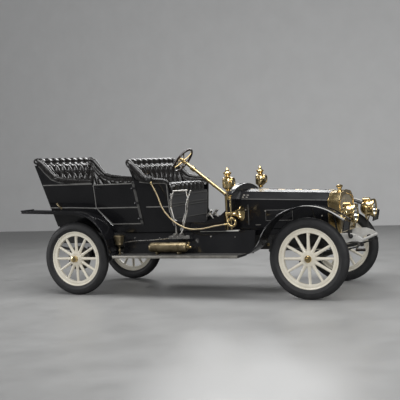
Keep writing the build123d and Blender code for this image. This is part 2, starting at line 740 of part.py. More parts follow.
def leaning_panel(points, inner_points, thick):
    """Right side panel: outer outline and inner outline, both (x from front axle, z)."""
    outer_face = lean_plane(-1)
    inner_face = lean_plane(-1, thick * lean_length)
    with BuildPart() as panel:
        for plane, outline in ((outer_face, points), (inner_face, inner_points)):
            with BuildSketch(plane):
                Polygon(*[(at(x), z * lean_length) for x, z in outline], align=None)
        loft(ruled=True)
    return panel.part


toe_foot_x = -1330
toe_half_width = 496
with BuildPart() as body_floor:
    with BuildSketch(Plane.YZ.offset(at(body_rear_x + 8))):
        Polygon(
            (-side_y(floor_bottom), floor_bottom), (-side_y(sill_top), sill_top),
            (-side_y(sill_top) + panel_thick, sill_top), (-side_y(sill_top) + panel_thick, floor_bottom + floor_thick),
            (side_y(sill_top) - panel_thick, floor_bottom + floor_thick), (side_y(sill_top) - panel_thick, sill_top),
            (side_y(sill_top), sill_top), (side_y(floor_bottom), floor_bottom), align=None)
    extrude(amount=body_front_x - body_rear_x - 8)
    add(side_prism(placed([(toe_foot_x, floor_bottom + floor_thick - 1), (toe_foot_x + 26, floor_bottom + floor_thick - 1),
                           (dash_rear_x, 985), (dash_rear_x, 1010)]), -toe_half_width, toe_half_width))
save(body_floor, "body_floor")

# Doors, and the edges of the panels that meet them
door_rear_x = -2815
door_front_top_x = -2212
door_front_low_x = -2145
door_top = 1382
door_bottom = sill_top + joint_gap
door_cut_top = 1085
door_cut_x = -2600
hinge_low = (door_front_low_x, door_bottom)
hinge_high = (door_front_top_x, door_top)


def hinge_line_x(z):
    """Place of the slanted front edge of the door opening at height z."""
    share = (z - hinge_low[1]) / (hinge_high[1] - hinge_low[1])
    return hinge_low[0] + share * (hinge_high[0] - hinge_low[0])


edge_gap = 4
bevel = panel_thick
hinge_radius = 8
hinge_length = 60
hinge_heights = (930, 1130, 1315)


def hinge_barrel(z, radius, length):
    """Barrel on the right door's hinge line, its middle at height z."""
    ends = [(at(hinge_line_x(level)), -side_y(level), level) for level in (z - length / 2, z + length / 2)]
    return rod(ends[0], ends[1], radius)


door_outline = [
    (door_rear_x, door_top), (door_rear_x, door_cut_top), (door_cut_x, door_bottom),
    (hinge_line_x(door_bottom) - edge_gap, door_bottom), (hinge_line_x(door_top) - edge_gap, door_top)]
door_inner = door_outline[:3] + [(x - bevel, z) for x, z in door_outline[3:]]
with BuildPart() as door_right:
    add(leaning_panel(door_outline, door_inner, panel_thick))
    for z in hinge_heights:
        add(hinge_barrel(z, hinge_radius, hinge_length))
save(door_right, "door_right")
with BuildPart() as door_left:
    mirror(door_right.part, about=Plane.XZ)
save(door_left, "door_left")

# Rear quarter: painted panel, its top edge under the leather roll
back_top = 1660
back_slope = -0.292


def back_x(z):
    """Place of the body's sloping back at height z."""
    return body_rear_x + back_slope * (z - 800)


arm_top = 1412
quarter_corner_x = back_x(back_top) + 62
# Top edge of the rear quarter, a scroll from the back's corner down to the arm
quarter_top = [
    (quarter_corner_x, back_top), (quarter_corner_x + 103, back_top - 0.52 * (back_top - arm_top)),
    (quarter_corner_x + 229, arm_top + 35), (quarter_corner_x + 377, arm_top + 2), (door_rear_x - 20, arm_top)]
quarter_outline = (
    [(back_x(sill_top), sill_top), (back_x(back_top), back_top)] + quarter_top
    + [(door_rear_x - joint_gap, arm_top), (door_rear_x - joint_gap, door_cut_top - 3),
       (door_cut_x - 8, sill_top)])
front_edge_x = -1765
front_corner_z = arm_top + 28
front_top = [(-2200, arm_top + 8), (-2135, arm_top - 20), (-1980, arm_top - 38), (-1800, arm_top - 44)]
# Front of the seat's side panel, and the low side of the front entry, running forward to the dash
entry_edge = [
    (front_edge_x - 10, arm_top - 60), (front_edge_x, arm_top - 92), (front_edge_x, sill_top + 130),
    (front_edge_x + 23, sill_top + 75), (front_edge_x + 65, sill_top + 40), (front_edge_x + 125, sill_top + 25),
    (body_front_x - 268, sill_top + 23), (body_front_x, sill_top + 110), (body_front_x, sill_top)]
front_outline = (
    [(hinge_line_x(sill_top) + edge_gap, sill_top),
     (hinge_line_x(front_corner_z) + edge_gap - 8, front_corner_z)] + front_top + entry_edge)
front_inner = [(x - bevel, z) for x, z in front_outline[:2]] + front_outline[2:]
with BuildPart() as body_quarters:
    add(leaning_panel(quarter_outline, quarter_outline, panel_thick))
    mirror(about=Plane.XZ)
save(body_quarters, "body_quarters")
with BuildPart() as body_front_sides:
    add(leaning_panel(front_outline, front_inner, panel_thick))
    for z in hinge_heights:
        add(hinge_barrel(z, hinge_radius + 2 * clearance, hinge_length + 2), mode=Mode.SUBTRACT)
    mirror(about=Plane.XZ)
save(body_front_sides, "body_front_sides")


body_reach = 900


def flared_prism(points, inset):
    """A side outline carried across the body, its ends leaning with the sides and moved in by inset."""
    with BuildPart() as prism:
        with BuildSketch(Plane.XZ):
            Polygon(*points, align=None)
        extrude(amount=body_reach, both=True)
        for side in (-1, 1):
            split(bisect_by=lean_plane(side, inset * lean_length), keep=Keep.BOTTOM)
    return prism.part


body_gap = 0.5
with BuildPart() as body_back:
    add(flared_prism(placed([(back_x(sill_top), sill_top), (back_x(back_top), back_top),
                             (back_x(back_top) + panel_thick, back_top),
                             (back_x(sill_top) + panel_thick, sill_top)]), panel_thick + body_gap))
save(body_back, "body_back")

# Seats: boxes, cushions and the leather that lines the backs and arms
rear_box_front_x = -2960
front_box_rear_x = -2175
seat_board = 25
rear_box_top = 1190
front_box_top = 1232
box_inset = panel_thick + body_gap


def seat_box(front_x, rear_low_x, rear_high_x, top):
    """Panelled box under a seat: front, top and rear boards, open below."""
    low = floor_bottom + floor_thick
    outer = placed([(front_x, low), (front_x, top), (rear_high_x, top), (rear_low_x, sill_top), (rear_low_x, low)])
    inner = placed([(front_x - seat_board, low - 1), (front_x - seat_board, top - seat_board),
                    (rear_high_x + seat_board, top - seat_board), (rear_low_x + seat_board, sill_top),
                    (rear_low_x + seat_board, low - 1)])
    with BuildPart() as box:
        add(flared_prism(outer, box_inset + 20))
        add(flared_prism(inner, box_inset - 10), mode=Mode.SUBTRACT)
    return box


rear_box_back = (back_x(sill_top) + panel_thick + body_gap, back_x(rear_box_top) + panel_thick + body_gap)
save(seat_box(rear_box_front_x, rear_box_back[0], rear_box_back[1], rear_box_top), "rear_seat_box")
save(seat_box(front_edge_x, front_box_rear_x + 20, front_box_rear_x, front_box_top), "front_seat_box")

# Front seat back board, between the side panels
front_back_slope = -0.30
front_back_top = 1600


def front_back_x(z):
    """Rear face of the front seat's back at height z."""
    return front_box_rear_x - 12 + front_back_slope * (z - front_box_top)


with BuildPart() as front_back:
    add(flared_prism(placed([(front_back_x(front_box_top), front_box_top + clearance), (front_back_x(front_back_top),
                            front_back_top), (front_back_x(front_back_top) + seat_board, front_back_top),
                            (front_back_x(front_box_top) + seat_board, front_box_top + clearance)]), box_inset + 2))
save(front_back, "front_seat_back")

cushion_gap = clearance


def cushion(name, front_x, rear_x, low, high, half_width):
    """Plain sprung cushion with rounded upper edges."""
    with BuildPart() as pad:
        with Locations((at((front_x + rear_x) / 2), 0, (low + high) / 2)):
            Box(front_x - rear_x, 2 * half_width, high - low)
        fillet(pad.edges().group_by(Axis.Z)[-1], 28)
    save(pad, name)


cushion_side_gap = 92
rear_cushion_top = 1325
front_cushion_top = 1358
pad_thick = 80
rear_pad_front_x = -2900
cushion("rear_seat_cushion", rear_pad_front_x, back_x(rear_box_top) + panel_thick + pad_thick + 3,
        rear_box_top + cushion_gap, rear_cushion_top, side_y(rear_box_top) - panel_thick - cushion_side_gap)
cushion("front_seat_cushion", front_edge_x + 14, front_back_x(front_box_top) + seat_board + pad_thick + 8,
        front_box_top + cushion_gap, front_cushion_top, side_y(front_box_top) - panel_thick - cushion_side_gap)


def upholstery(name, roll, roll_under, lining, hollow):
    """Leather lining of a seat: the roll over the shell's edge, and the pads inside it."""
    with BuildPart() as leather:
        add(flared_prism(placed(roll + roll_under[::-1]), -8))
        add(flared_prism(placed(lining), panel_thick + clearance))
        add(flared_prism(placed(hollow), panel_thick + pad_thick), mode=Mode.SUBTRACT)
    save(leather, name)


roll_height = 96
hollow_low = rear_box_top - 90
hollow_high = back_top + 140
rear_corner_x = back_x(back_top)
rear_roll = [
    (rear_corner_x - 15, back_top + 50), (rear_corner_x + 8, back_top + 84), (rear_corner_x + 40, back_top + roll_height),
    (rear_corner_x + 80, back_top + 88), (-3515, 1682), (-3385, 1535), (-3260, 1490), (-2850, arm_top + 40),
    (-2825, arm_top + 18)]
rear_roll_under = (
    [(rear_corner_x - 10, back_top + 2)] + [(x + 3, z + 3) for x, z in quarter_top[:4]] + [(-2825, arm_top + 2)])
rear_lining = [
    (back_x(rear_box_top) + panel_thick + 2, rear_box_top + 2), (rear_corner_x + panel_thick + 2, back_top + 10),
    (rear_corner_x + 90, back_top + 50), (-3385, 1505), (-3260, 1472), (-2850, arm_top + 28),
    (rear_pad_front_x + 40, rear_box_top + 2)]
rear_hollow = [
    (back_x(hollow_low) + panel_thick + pad_thick, hollow_low),
    (back_x(hollow_high) + panel_thick + pad_thick, hollow_high),
    (door_rear_x + 115, hollow_high), (door_rear_x + 115, hollow_low)]
upholstery("rear_seat_upholstery", rear_roll, rear_roll_under, rear_lining, rear_hollow)

front_corner_x = front_back_x(front_back_top)
front_roll = [
    (front_corner_x - 16, front_back_top + 40), (front_corner_x + 4, front_back_top + 74),
    (front_corner_x + 34, front_back_top + 86), (front_corner_x + 66, front_back_top + 74), (-2070, 1472),
    (-2000, 1444), (-1815, arm_top + 10), (-1752, 1380), (-1735, 1330)]
front_roll_under = (
    [(front_corner_x - 8, front_back_top + 2), (front_corner_x + seat_board + 4, front_back_top + 2)]
    + [(x, z + 5) for x, z in front_top] + [(front_edge_x - 4, arm_top - 56), (front_edge_x + 10, arm_top - 82)])
front_lining = [
    (front_back_x(front_box_top) + seat_board + 2, front_box_top + 2),
    (front_corner_x + seat_board + 2, front_back_top + 4), (front_corner_x + 62, front_back_top + 50),
    (-2070, 1448), (-1815, 1400), (front_edge_x + 4, 1340), (front_edge_x + 4, front_box_top + 2)]
front_hollow = [
    (front_back_x(hollow_low) + seat_board + pad_thick, hollow_low),
    (front_back_x(hollow_high) + seat_board + pad_thick, hollow_high),
    (front_edge_x + 165, hollow_high), (front_edge_x + 165, hollow_low)]
upholstery("front_seat_upholstery", front_roll, front_roll_under, front_lining, front_hollow)

# Headlamps on forked brackets from the rails
lamp_y = 460
lamp_z = 932
lamp_rim_x = 484
lamp_radius = 98
lamp_rim_radius = 112
lamp_rim_depth = 34
lamp_drum = 150
chimney_radius = 30
bracket_x = 395
bracket_base_z = rail_top - 30
lamp_axis = Axis((at(lamp_rim_x), -lamp_y, lamp_z), (1, 0, 0))
with BuildPart() as headlamps:
    with BuildSketch(Plane(origin=(at(lamp_rim_x), -lamp_y, lamp_z), x_dir=(1, 0, 0), z_dir=(0, -1, 0))):
        Polygon((0, 0), (0, lamp_rim_radius - 10), (8, lamp_rim_radius - 2), (0, lamp_rim_radius),
                (-lamp_rim_depth, lamp_rim_radius), (-lamp_rim_depth, lamp_radius), (-lamp_rim_depth - 70,
                lamp_radius - 6), (-lamp_drum, lamp_radius - 34), (-lamp_drum - 18, 46), (-lamp_drum - 18, 0),
                align=None)
    revolve(axis=lamp_axis)
    add(rod((at(lamp_rim_x - 140), -lamp_y, lamp_z + lamp_radius - 4), (at(lamp_rim_x - 50), -lamp_y,
            lamp_z + lamp_radius - 4), chimney_radius))
    add(rod((at(bracket_x), -lamp_y, bracket_base_z), (at(bracket_x), -lamp_y, lamp_z - lamp_radius + 10), 13))
    add(rod((at(bracket_x), -rail_outer_y - clearance, bracket_base_z), (at(bracket_x), -lamp_y, bracket_base_z), 13))
    mirror(about=Plane.XZ)
save(headlamps, "headlamps")

# Side lamps beside the dash, on brackets
side_lamp_x = -1000
side_lamp_y = 545
side_lamp_low = 1228
# Each row: height above the lamp's foot, radius
side_lamp_profile = [(0, 0), (0, 30), (14, 40), (44, 46), (54, 56), (160, 56), (170, 44), (184, 28), (196, 42),
                     (212, 47), (228, 40), (244, 22), (260, 22), (272, 16), (284, 8), (284, 0)]
side_lamp_arm_z = 1150
side_lamp_lens_z = side_lamp_low + 112
with BuildPart() as side_lamps:
    with BuildSketch(Plane(origin=(at(side_lamp_x), -side_lamp_y, side_lamp_low), x_dir=(0, 0, 1),
                           z_dir=(0, -1, 0))):
        Polygon(*side_lamp_profile, align=None)
    revolve(axis=Axis((at(side_lamp_x), -side_lamp_y, side_lamp_low), (0, 0, 1)))
    add(rod((at(side_lamp_x + 40), -side_lamp_y, side_lamp_lens_z), (at(side_lamp_x + 76), -side_lamp_y,
            side_lamp_lens_z), 50))
    add(rod((at(side_lamp_x - 12), -dash_half_width - clearance, side_lamp_arm_z),
            (at(side_lamp_x - 12), -side_lamp_y, side_lamp_arm_z), 10))
    add(rod((at(side_lamp_x - 12), -side_lamp_y, side_lamp_arm_z),
            (at(side_lamp_x - 12), -side_lamp_y, side_lamp_low + 5), 10))
    mirror(about=Plane.XZ)
save(side_lamps, "side_lamps")

# Gas cylinder on the right running board
cylinder_radius = 60
cylinder_y = 690
cylinder_front_x = -1500
cylinder_rear_x = -2010
cylinder_z = board_top + 26 + cylinder_radius
with BuildPart() as gas_cylinder:
    add(rod((at(cylinder_rear_x), -cylinder_y, cylinder_z), (at(cylinder_front_x), -cylinder_y, cylinder_z),
            cylinder_radius))
    fillet(gas_cylinder.edges().filter_by(GeomType.CIRCLE), 18)
    add(rod((at(cylinder_front_x - 4), -cylinder_y, cylinder_z), (at(cylinder_front_x + 50), -cylinder_y,
            cylinder_z), 16))
    for x in (cylinder_rear_x + 110, cylinder_front_x - 110):
        with Locations((at(x), -cylinder_y, (board_top + cylinder_z) / 2)):
            Box(24, 70, cylinder_z - board_top)
save(gas_cylinder, "gas_cylinder")

# Small funnel-shaped gas generator at the rear end of the same board. Each row: height above the board, radius
generator_x = -2432
generator_y = 690
generator_profile = [(0, 0), (0, 16), (8, 16), (12, 9), (40, 9), (50, 18), (60, 9), (98, 15), (120, 46), (132, 48),
                     (218, 66), (230, 66), (238, 52), (242, 0)]
with BuildPart() as generator:
    with BuildSketch(Plane(origin=(at(generator_x), -generator_y, board_top), x_dir=(0, 0, 1), z_dir=(0, -1, 0))):
        Polygon(*generator_profile, align=None)
    revolve(axis=Axis((at(generator_x), -generator_y, board_top), (0, 0, 1)))
save(generator, "gas_generator")

# Brake and gear levers outside the right side, and the pedals on the toe board
lever_y = 630
second_lever_y = 655
lever_foot_z = 706
lever_seat_y = 525.6
lever_base_x = -1624
# Each row: side place, start x, start z, end x, end z, radius
lever_table = [
    (lever_y, -1663, 712, -1668, 831, 9), (lever_y, -1668, 831, -1697, 962, 9), (lever_y, -1697, 962, -1727, 1072, 9),
    (lever_y, -1727, 1072, -1710, 1155, 9), (lever_y, -1710, 1155, -1676, 1258, 9),
    (lever_y, -1676, 1258, -1512, 1262, 11), (second_lever_y, -1603, 712, -1562, 810, 9),
    (second_lever_y, -1562, 810, -1498, 1002, 9), (second_lever_y, -1498, 1002, -1477, 1161, 9),
    (second_lever_y, -1477, 1161, -1500, 1263, 8), (second_lever_y, -1477, 1161, -1436, 1256, 8)]
pedal_sides = (-160, -330)
with BuildPart() as levers_and_pedals:
    with Locations((at(lever_base_x), -(lever_y + 14), lever_foot_z)):
        Box(250, 60, 34)
    with Locations((at(lever_base_x), -(lever_y + lever_seat_y) / 2, lever_foot_z)):
        Box(60, lever_y - lever_seat_y, 24)
    for y, start_x, start_z, end_x, end_z, radius in lever_table:
        add(rod((at(start_x), -y, start_z), (at(end_x), -y, end_z), radius))
        with Locations((at(end_x), -y, end_z)):
            Sphere(radius)
    for y in pedal_sides:
        add(rod((at(-1262.5), y, 845.7), (at(-1350), y, 960), 9))
        with Locations(Location((at(-1350), y, 965), (0, -50, 0))):
            Box(90, 70, 12)
save(levers_and_pedals, "levers_and_pedals")

# Bulb horn: bell facing forward, one coil, flexible tube to the bulb beside the seat
horn_y = 638
horn_ring_x = -933
horn_ring_z = 871
horn_ring_radius = 46
horn_tube_radius = 15
bell_rise = 103
horn_ring = (at(horn_ring_x), -horn_y, horn_ring_z)
bell_centre = (at(horn_ring_x), -horn_y, horn_ring_z + bell_rise)
horn_inlet = (at(horn_ring_x - 82), -horn_y - 2, horn_ring_z - 22)
tube_before_inlet = (-1148, -645, 834)
inlet_run = (Vector(*horn_inlet) - Vector(at(tube_before_inlet[0]), *tube_before_inlet[1:])).normalized()
with BuildPart() as horn:
    with BuildSketch(Plane(origin=horn_ring, x_dir=(1, 0, 0), z_dir=(0, 0, 1))):
        with Locations((horn_ring_radius, 0)):
            RegularPolygon(horn_tube_radius, 8)
    revolve(axis=Axis(horn_ring, (0, 1, 0)))
    add(rod(horn_inlet, tuple(Vector(*horn_inlet) + inlet_run * 34), 11))
    with BuildSketch(Plane(origin=bell_centre, x_dir=(1, 0, 0), z_dir=(0, -1, 0))):
        Polygon((-70, 0), (-70, 16), (0, 22), (62, 40), (104, 68), (122, 88), (128, 88), (128, 0), align=None)
    revolve(axis=Axis(bell_centre, (1, 0, 0)))
    add(rod((at(horn_ring_x - 55), -horn_y, horn_ring_z), (at(horn_ring_x - 55), -horn_y,
            horn_ring_z + bell_rise + 2), 14))
    add(rod((at(horn_ring_x - 66), -dash_half_width - clearance, horn_ring_z + 34),
            (at(horn_ring_x - 66), -horn_y, horn_ring_z + 34), 10))
save(horn, "horn")

# Route of the tube from the bulb's neck to the horn's coil: x from the front axle, y, z
tube_radius = 9
tube_route = [(-1939, -690, 1360), (-1911, -690, 1305), (-1873, -690, 1234), (-1847, -690, 1163),
              (-1815, -692, 1077), (-1770, -694, 1006), (-1703, -694, 934), (-1634, -694, 880), (-1556, -690, 835),
              (-1465, -684, 803), (-1355, -674, 798), (-1245, -660, 812), tube_before_inlet]
route = [Vector(at(x), y, z) for x, y, z in tube_route] + [Vector(*horn_inlet)]
bend_radii = []
for before, corner, after in zip(route, route[1:], route[2:]):
    turn = math.radians((corner - before).get_angle(after - corner))
    shorter = min((corner - before).length, (after - corner).length)
    bend_radii.append(0.45 * shorter / math.tan(turn / 2))
print("tube bend radii", [round(r) for r in bend_radii])
with BuildPart() as horn_tube:
    with BuildLine() as tube_path:
        FilletPolyline(*route, radius=bend_radii)
    with BuildSketch(Plane(origin=route[0], z_dir=route[1] - route[0])):
        Circle(tube_radius)
    sweep()
save(horn_tube, "horn_tube")
tube_length = sum(edge.length for edge in tube_path.line.edges())
print("tube length", round(tube_length), "volume share",
      round(horn_tube.part.volume / (tube_length * math.pi * tube_radius ** 2), 4))

bulb_length = 106
bulb_axis = (route[1] - route[0]).normalized() * bulb_length
bulb_top = route[0] - bulb_axis
with BuildPart() as horn_bulb:
    with BuildSketch(Plane(origin=bulb_top, x_dir=bulb_axis, z_dir=(0, 1, 0))):
        Polygon((0, 0), (0, 14), (18, 36), (45, 44), (68, 32), (88, 14), (bulb_axis.length, 12),
                (bulb_axis.length, 0), align=None)
    revolve(axis=Axis(bulb_top, bulb_axis))
save(horn_bulb, "horn_bulb")

print("overall length", overall_length)
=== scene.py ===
import bmesh
import bpy
import math
from mathutils import Matrix, Vector


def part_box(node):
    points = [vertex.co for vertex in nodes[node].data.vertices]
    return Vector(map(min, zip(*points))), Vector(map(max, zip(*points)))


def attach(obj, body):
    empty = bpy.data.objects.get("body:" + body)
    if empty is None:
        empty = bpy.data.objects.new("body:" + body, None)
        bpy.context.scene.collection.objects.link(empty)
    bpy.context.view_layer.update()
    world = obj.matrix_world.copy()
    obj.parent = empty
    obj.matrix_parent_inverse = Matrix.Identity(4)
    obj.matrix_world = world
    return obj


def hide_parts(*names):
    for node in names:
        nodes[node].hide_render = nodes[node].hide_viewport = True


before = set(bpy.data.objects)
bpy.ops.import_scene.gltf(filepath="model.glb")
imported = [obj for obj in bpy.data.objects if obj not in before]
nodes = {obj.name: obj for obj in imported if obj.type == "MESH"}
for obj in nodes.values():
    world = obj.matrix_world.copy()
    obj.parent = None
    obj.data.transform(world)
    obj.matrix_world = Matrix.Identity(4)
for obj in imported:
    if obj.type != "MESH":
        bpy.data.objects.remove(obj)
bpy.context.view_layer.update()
scene = bpy.context.scene
print("frame loaded:", len(nodes), "nodes")

# Places are metres. A table's x is counted forward from the front axle, as at() reads it.
frontX = 1.6185
wheelbase = 3.048
axleZ = 0.457
wheelY = 0.711
bodyLean = 0.134
panelThick = 0.030


def at(x):
    return frontX + x


def sideY(z):
    return 0.545 + bodyLean * (z - 0.830)  # the body's leaning side at height z


# Camera
camera = {
    "place": (4.3439, -9.3665, 1.5383),
    "right": (0.906674, 0.418659, -0.051634),
    "up": (0.029674, 0.058799, 0.997829),
    "forward": (-0.420786, 0.906238, -0.040889),
    "lens": 73.37,
}
cameraData = bpy.data.cameras.new("camera")
cameraData.lens = camera["lens"]
cameraData.sensor_width = 36
cameraData.clip_end = 200
cam = bpy.data.objects.new("camera", cameraData)
scene.collection.objects.link(cam)
camTurn = Matrix((Vector(camera["right"]), Vector(camera["up"]), -Vector(camera["forward"]))).transposed()
cam.matrix_world = Matrix.Translation(camera["place"]) @ camTurn.to_4x4()
scene.camera = cam

# Finishes
materials = {}


def surface(name, color, dark, rough, metallic=0.0, scale=6.0, bump=0.0, bumpScale=200.0, coat=0.0,
            stretch=(1, 1, 1), grain="noise"):
    # colour and roughness drift with a slow noise, and a fine grain lifts the surface
    mat = bpy.data.materials.new(name)
    mat.use_nodes = True
    tree = mat.node_tree
    add = tree.nodes.new
    link = tree.links.new
    shader = tree.nodes["Principled BSDF"]
    shader.inputs["Metallic"].default_value = metallic
    shader.inputs["Coat Weight"].default_value = coat
    shader.inputs["Coat Roughness"].default_value = 0.06
    coords = add("ShaderNodeTexCoord")
    mapping = add("ShaderNodeMapping")
    mapping.inputs["Scale"].default_value = stretch
    link(coords.outputs["Object"], mapping.inputs["Vector"])
    drift = add("ShaderNodeTexNoise")
    drift.inputs["Scale"].default_value = scale
    drift.inputs["Detail"].default_value = 6
    drift.inputs["Roughness"].default_value = 0.6
    link(mapping.outputs["Vector"], drift.inputs["Vector"])
    ramp = add("ShaderNodeValToRGB")
    ramp.color_ramp.elements[0].position = 0.32
    ramp.color_ramp.elements[1].position = 0.68
    ramp.color_ramp.elements[0].color = (*dark, 1)
    ramp.color_ramp.elements[1].color = (*color, 1)
    link(drift.outputs["Fac"], ramp.inputs["Fac"])
    link(ramp.outputs["Color"], shader.inputs["Base Color"])
    spread = add("ShaderNodeMapRange")
    spread.inputs["From Min"].default_value = 0.3
    spread.inputs["From Max"].default_value = 0.7
    spread.inputs["To Min"].default_value = rough[0]
    spread.inputs["To Max"].default_value = rough[1]
    link(drift.outputs["Fac"], spread.inputs["Value"])
    link(spread.outputs["Result"], shader.inputs["Roughness"])
    if bump:
        if grain == "pebble":
            fine = add("ShaderNodeTexVoronoi")
            height = fine.outputs["Distance"]
        elif grain == "wood":
            fine = add("ShaderNodeTexWave")
            fine.inputs["Distortion"].default_value = 6
            fine.inputs["Detail"].default_value = 4
            height = fine.outputs["Fac"]
        else:
            fine = add("ShaderNodeTexNoise")
            fine.inputs["Detail"].default_value = 5
            height = fine.outputs["Fac"]
        fine.inputs["Scale"].default_value = bumpScale
        link(mapping.outputs["Vector"], fine.inputs["Vector"])
        lift = add("ShaderNodeBump")
        lift.inputs["Strength"].default_value = bump
        lift.inputs["Distance"].default_value = 0.002
        link(height, lift.inputs["Height"])
        link(lift.outputs["Normal"], shader.inputs["Normal"])
    materials[name] = mat
    return mat, shader


surface("coachBlack", (0.008, 0.008, 0.009), (0.005, 0.005, 0.006), (0.16, 0.26), scale=3, bump=0.02,
        bumpScale=60, coat=0.25)
surface("riserPaint", (0.058, 0.058, 0.060), (0.040, 0.040, 0.042), (0.30, 0.42), scale=7, bump=0.04,
        bumpScale=60, coat=0.2)
surface("chassisBlack", (0.030, 0.029, 0.028), (0.016, 0.016, 0.016), (0.35, 0.55), scale=9,
        bump=0.12, bumpScale=90)
surface("brass", (0.86, 0.69, 0.38), (0.68, 0.51, 0.24), (0.10, 0.26), 1.0, scale=11, bump=0.05,
        bumpScale=120)
surface("dullBrass", (0.66, 0.55, 0.36), (0.48, 0.38, 0.22), (0.30, 0.46), 1.0, scale=16, bump=0.15,
        bumpScale=160)
surface("agedBrass", (0.40, 0.33, 0.21), (0.22, 0.175, 0.10), (0.30, 0.50), 1.0, scale=14, bump=0.2,
        bumpScale=140)
surface("nickel", (0.70, 0.68, 0.64), (0.52, 0.50, 0.47), (0.20, 0.36), 1.0, scale=14, bump=0.04,
        bumpScale=120)
surface("edgeMetal", (0.44, 0.42, 0.38), (0.30, 0.285, 0.255), (0.35, 0.5), 0.8, scale=16, bump=0.12,
        bumpScale=140)
# pale finish of the rail ends; it also paints the highlights on the apron and front fenders
surface("paleFinishAndHighlight", (0.66, 0.65, 0.62), (0.54, 0.53, 0.50), (0.25, 0.4), scale=14, bump=0.05,
        bumpScale=120, coat=0.2)
surface("creamPaint", (0.80, 0.76, 0.65), (0.71, 0.66, 0.55), (0.28, 0.42), scale=12, bump=0.06,
        bumpScale=90, coat=0.2)
surface("tyreRubber", (0.026, 0.026, 0.027), (0.014, 0.014, 0.015), (0.45, 0.7), scale=14, bump=0.25,
        bumpScale=220)
surface("blackLeather", (0.012, 0.011, 0.010), (0.006, 0.005, 0.005), (0.22, 0.34), scale=16, bump=0.14,
        bumpScale=420, coat=0.25, grain="pebble")
surface("castIron", (0.12, 0.115, 0.11), (0.06, 0.057, 0.053), (0.5, 0.75), 0.6, scale=18, bump=0.5,
        bumpScale=160)
surface("blackRubber", (0.022, 0.022, 0.022), (0.014, 0.014, 0.014), (0.3, 0.5), scale=20, bump=0.15,
        bumpScale=260)
# dull brass honeycomb, its tone lifted to paint in the light its face reflects: partly painted reflection
surface("coreMetal", (0.56, 0.51, 0.41), (0.36, 0.32, 0.24), (0.35, 0.5), 0.4, scale=30, bump=0.2,
        bumpScale=200)
surface("boardMat", (0.060, 0.058, 0.055), (0.032, 0.031, 0.029), (0.5, 0.7), scale=12, bump=0.3,
        bumpScale=150)
surface("rimWood", (0.022, 0.012, 0.007), (0.010, 0.006, 0.004), (0.16, 0.3), scale=10, bump=0.1,
        bumpScale=30, coat=0.5, stretch=(1, 6, 6), grain="wood")
# grey lines painted on the body and doors; the same finish paints the highlight lines on the bonnet
surface("greyLineAndHighlight", (0.17, 0.167, 0.158), (0.12, 0.118, 0.112), (0.25, 0.4), scale=20, bump=0.05,
        bumpScale=90, coat=0.2)
surface("postLine", (0.085, 0.084, 0.080), (0.060, 0.059, 0.056), (0.28, 0.42), scale=20, bump=0.05,
        bumpScale=90, coat=0.2)
surface("lampMirror", (0.9, 0.89, 0.86), (0.78, 0.77, 0.74), (0.04, 0.10), 1.0, scale=8)
glassShader = surface("lensGlass", (0.95, 0.96, 0.95), (0.9, 0.92, 0.91), (0.02, 0.06), scale=4)[1]
glassShader.inputs["Transmission Weight"].default_value = 1
glassShader.inputs["IOR"].default_value = 1.45
print("finishes made:", len(materials))

# Horn tube, from the bulb's neck to the horn's coil
hornTube = {
    "route": [(-1.939, -0.690, 1.360), (-1.911, -0.690, 1.305), (-1.873, -0.690, 1.234),
              (-1.847, -0.690, 1.163), (-1.815, -0.692, 1.077), (-1.770, -0.694, 1.006),
              (-1.703, -0.694, 0.934), (-1.634, -0.694, 0.880), (-1.556, -0.690, 0.835),
              (-1.465, -0.684, 0.803), (-1.355, -0.674, 0.798), (-1.245, -0.660, 0.812),
              (-1.148, -0.645, 0.834), (-1.015, -0.640, 0.849)],
    "radius": 0.009,
    "length": 1.221,
    "neckWay": (0.028, 0, -0.055),  # the way the tube leaves the bulb's neck
}
tubeCurve = bpy.data.curves.new("hornTube", "CURVE")
tubeCurve.dimensions = "3D"
tubeCurve.bevel_depth = hornTube["radius"]
tubeCurve.bevel_resolution = 4
tubeCurve.use_fill_caps = True
tubeSpline = tubeCurve.splines.new("NURBS")
tubeSpline.points.add(len(hornTube["route"]) - 1)
for spot, (x, y, z) in zip(tubeSpline.points, hornTube["route"]):
    spot.co = (at(x), y, z, 1)
tubeSpline.order_u = 3
tubeSpline.use_endpoint_u = True
tubeSpline.resolution_u = 8
tubeCurve.materials.append(materials["dullBrass"])
tubeObject = bpy.data.objects.new("hornTube", tubeCurve)
scene.collection.objects.link(tubeObject)
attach(tubeObject, "chassis")
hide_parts("horn_tube")
tubeStart = (at(hornTube["route"][0][0]), *hornTube["route"][0][1:])


# Mesh helpers
def finishPiece(bm, name, body, material, smooth=35):
    bmesh.ops.remove_doubles(bm, verts=bm.verts, dist=1e-6)
    bmesh.ops.recalc_face_normals(bm, faces=bm.faces)
    mesh = bpy.data.meshes.new(name)
    bm.to_mesh(mesh)
    bm.free()
    mesh.materials.append(materials[material])
    for polygon in mesh.polygons:
        polygon.use_smooth = True
    mesh.set_sharp_from_angle(angle=math.radians(smooth))
    obj = bpy.data.objects.new(name, mesh)
    scene.collection.objects.link(obj)
    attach(obj, body)
    return obj


def turned(bm, profile, origin, axis, steps=32):
    # profile rows of (along the axis, radius), turned once round
    origin = Vector(origin)
    axis = Vector(axis).normalized()
    aside = axis.orthogonal().normalized()
    verts = [bm.verts.new(origin + axis * along + aside * radius) for along, radius in profile]
    edges = [bm.edges.new(pair) for pair in zip(verts, verts[1:])]
    bmesh.ops.spin(bm, geom=verts + edges, cent=origin, axis=axis, angle=2 * math.pi, steps=steps,
                   use_merge=True, use_duplicate=False)
    poles = [v for v in bm.verts if v.is_valid and (v.co - origin).cross(axis).length < 1e-5]
    bmesh.ops.remove_doubles(bm, verts=poles, dist=2e-5)


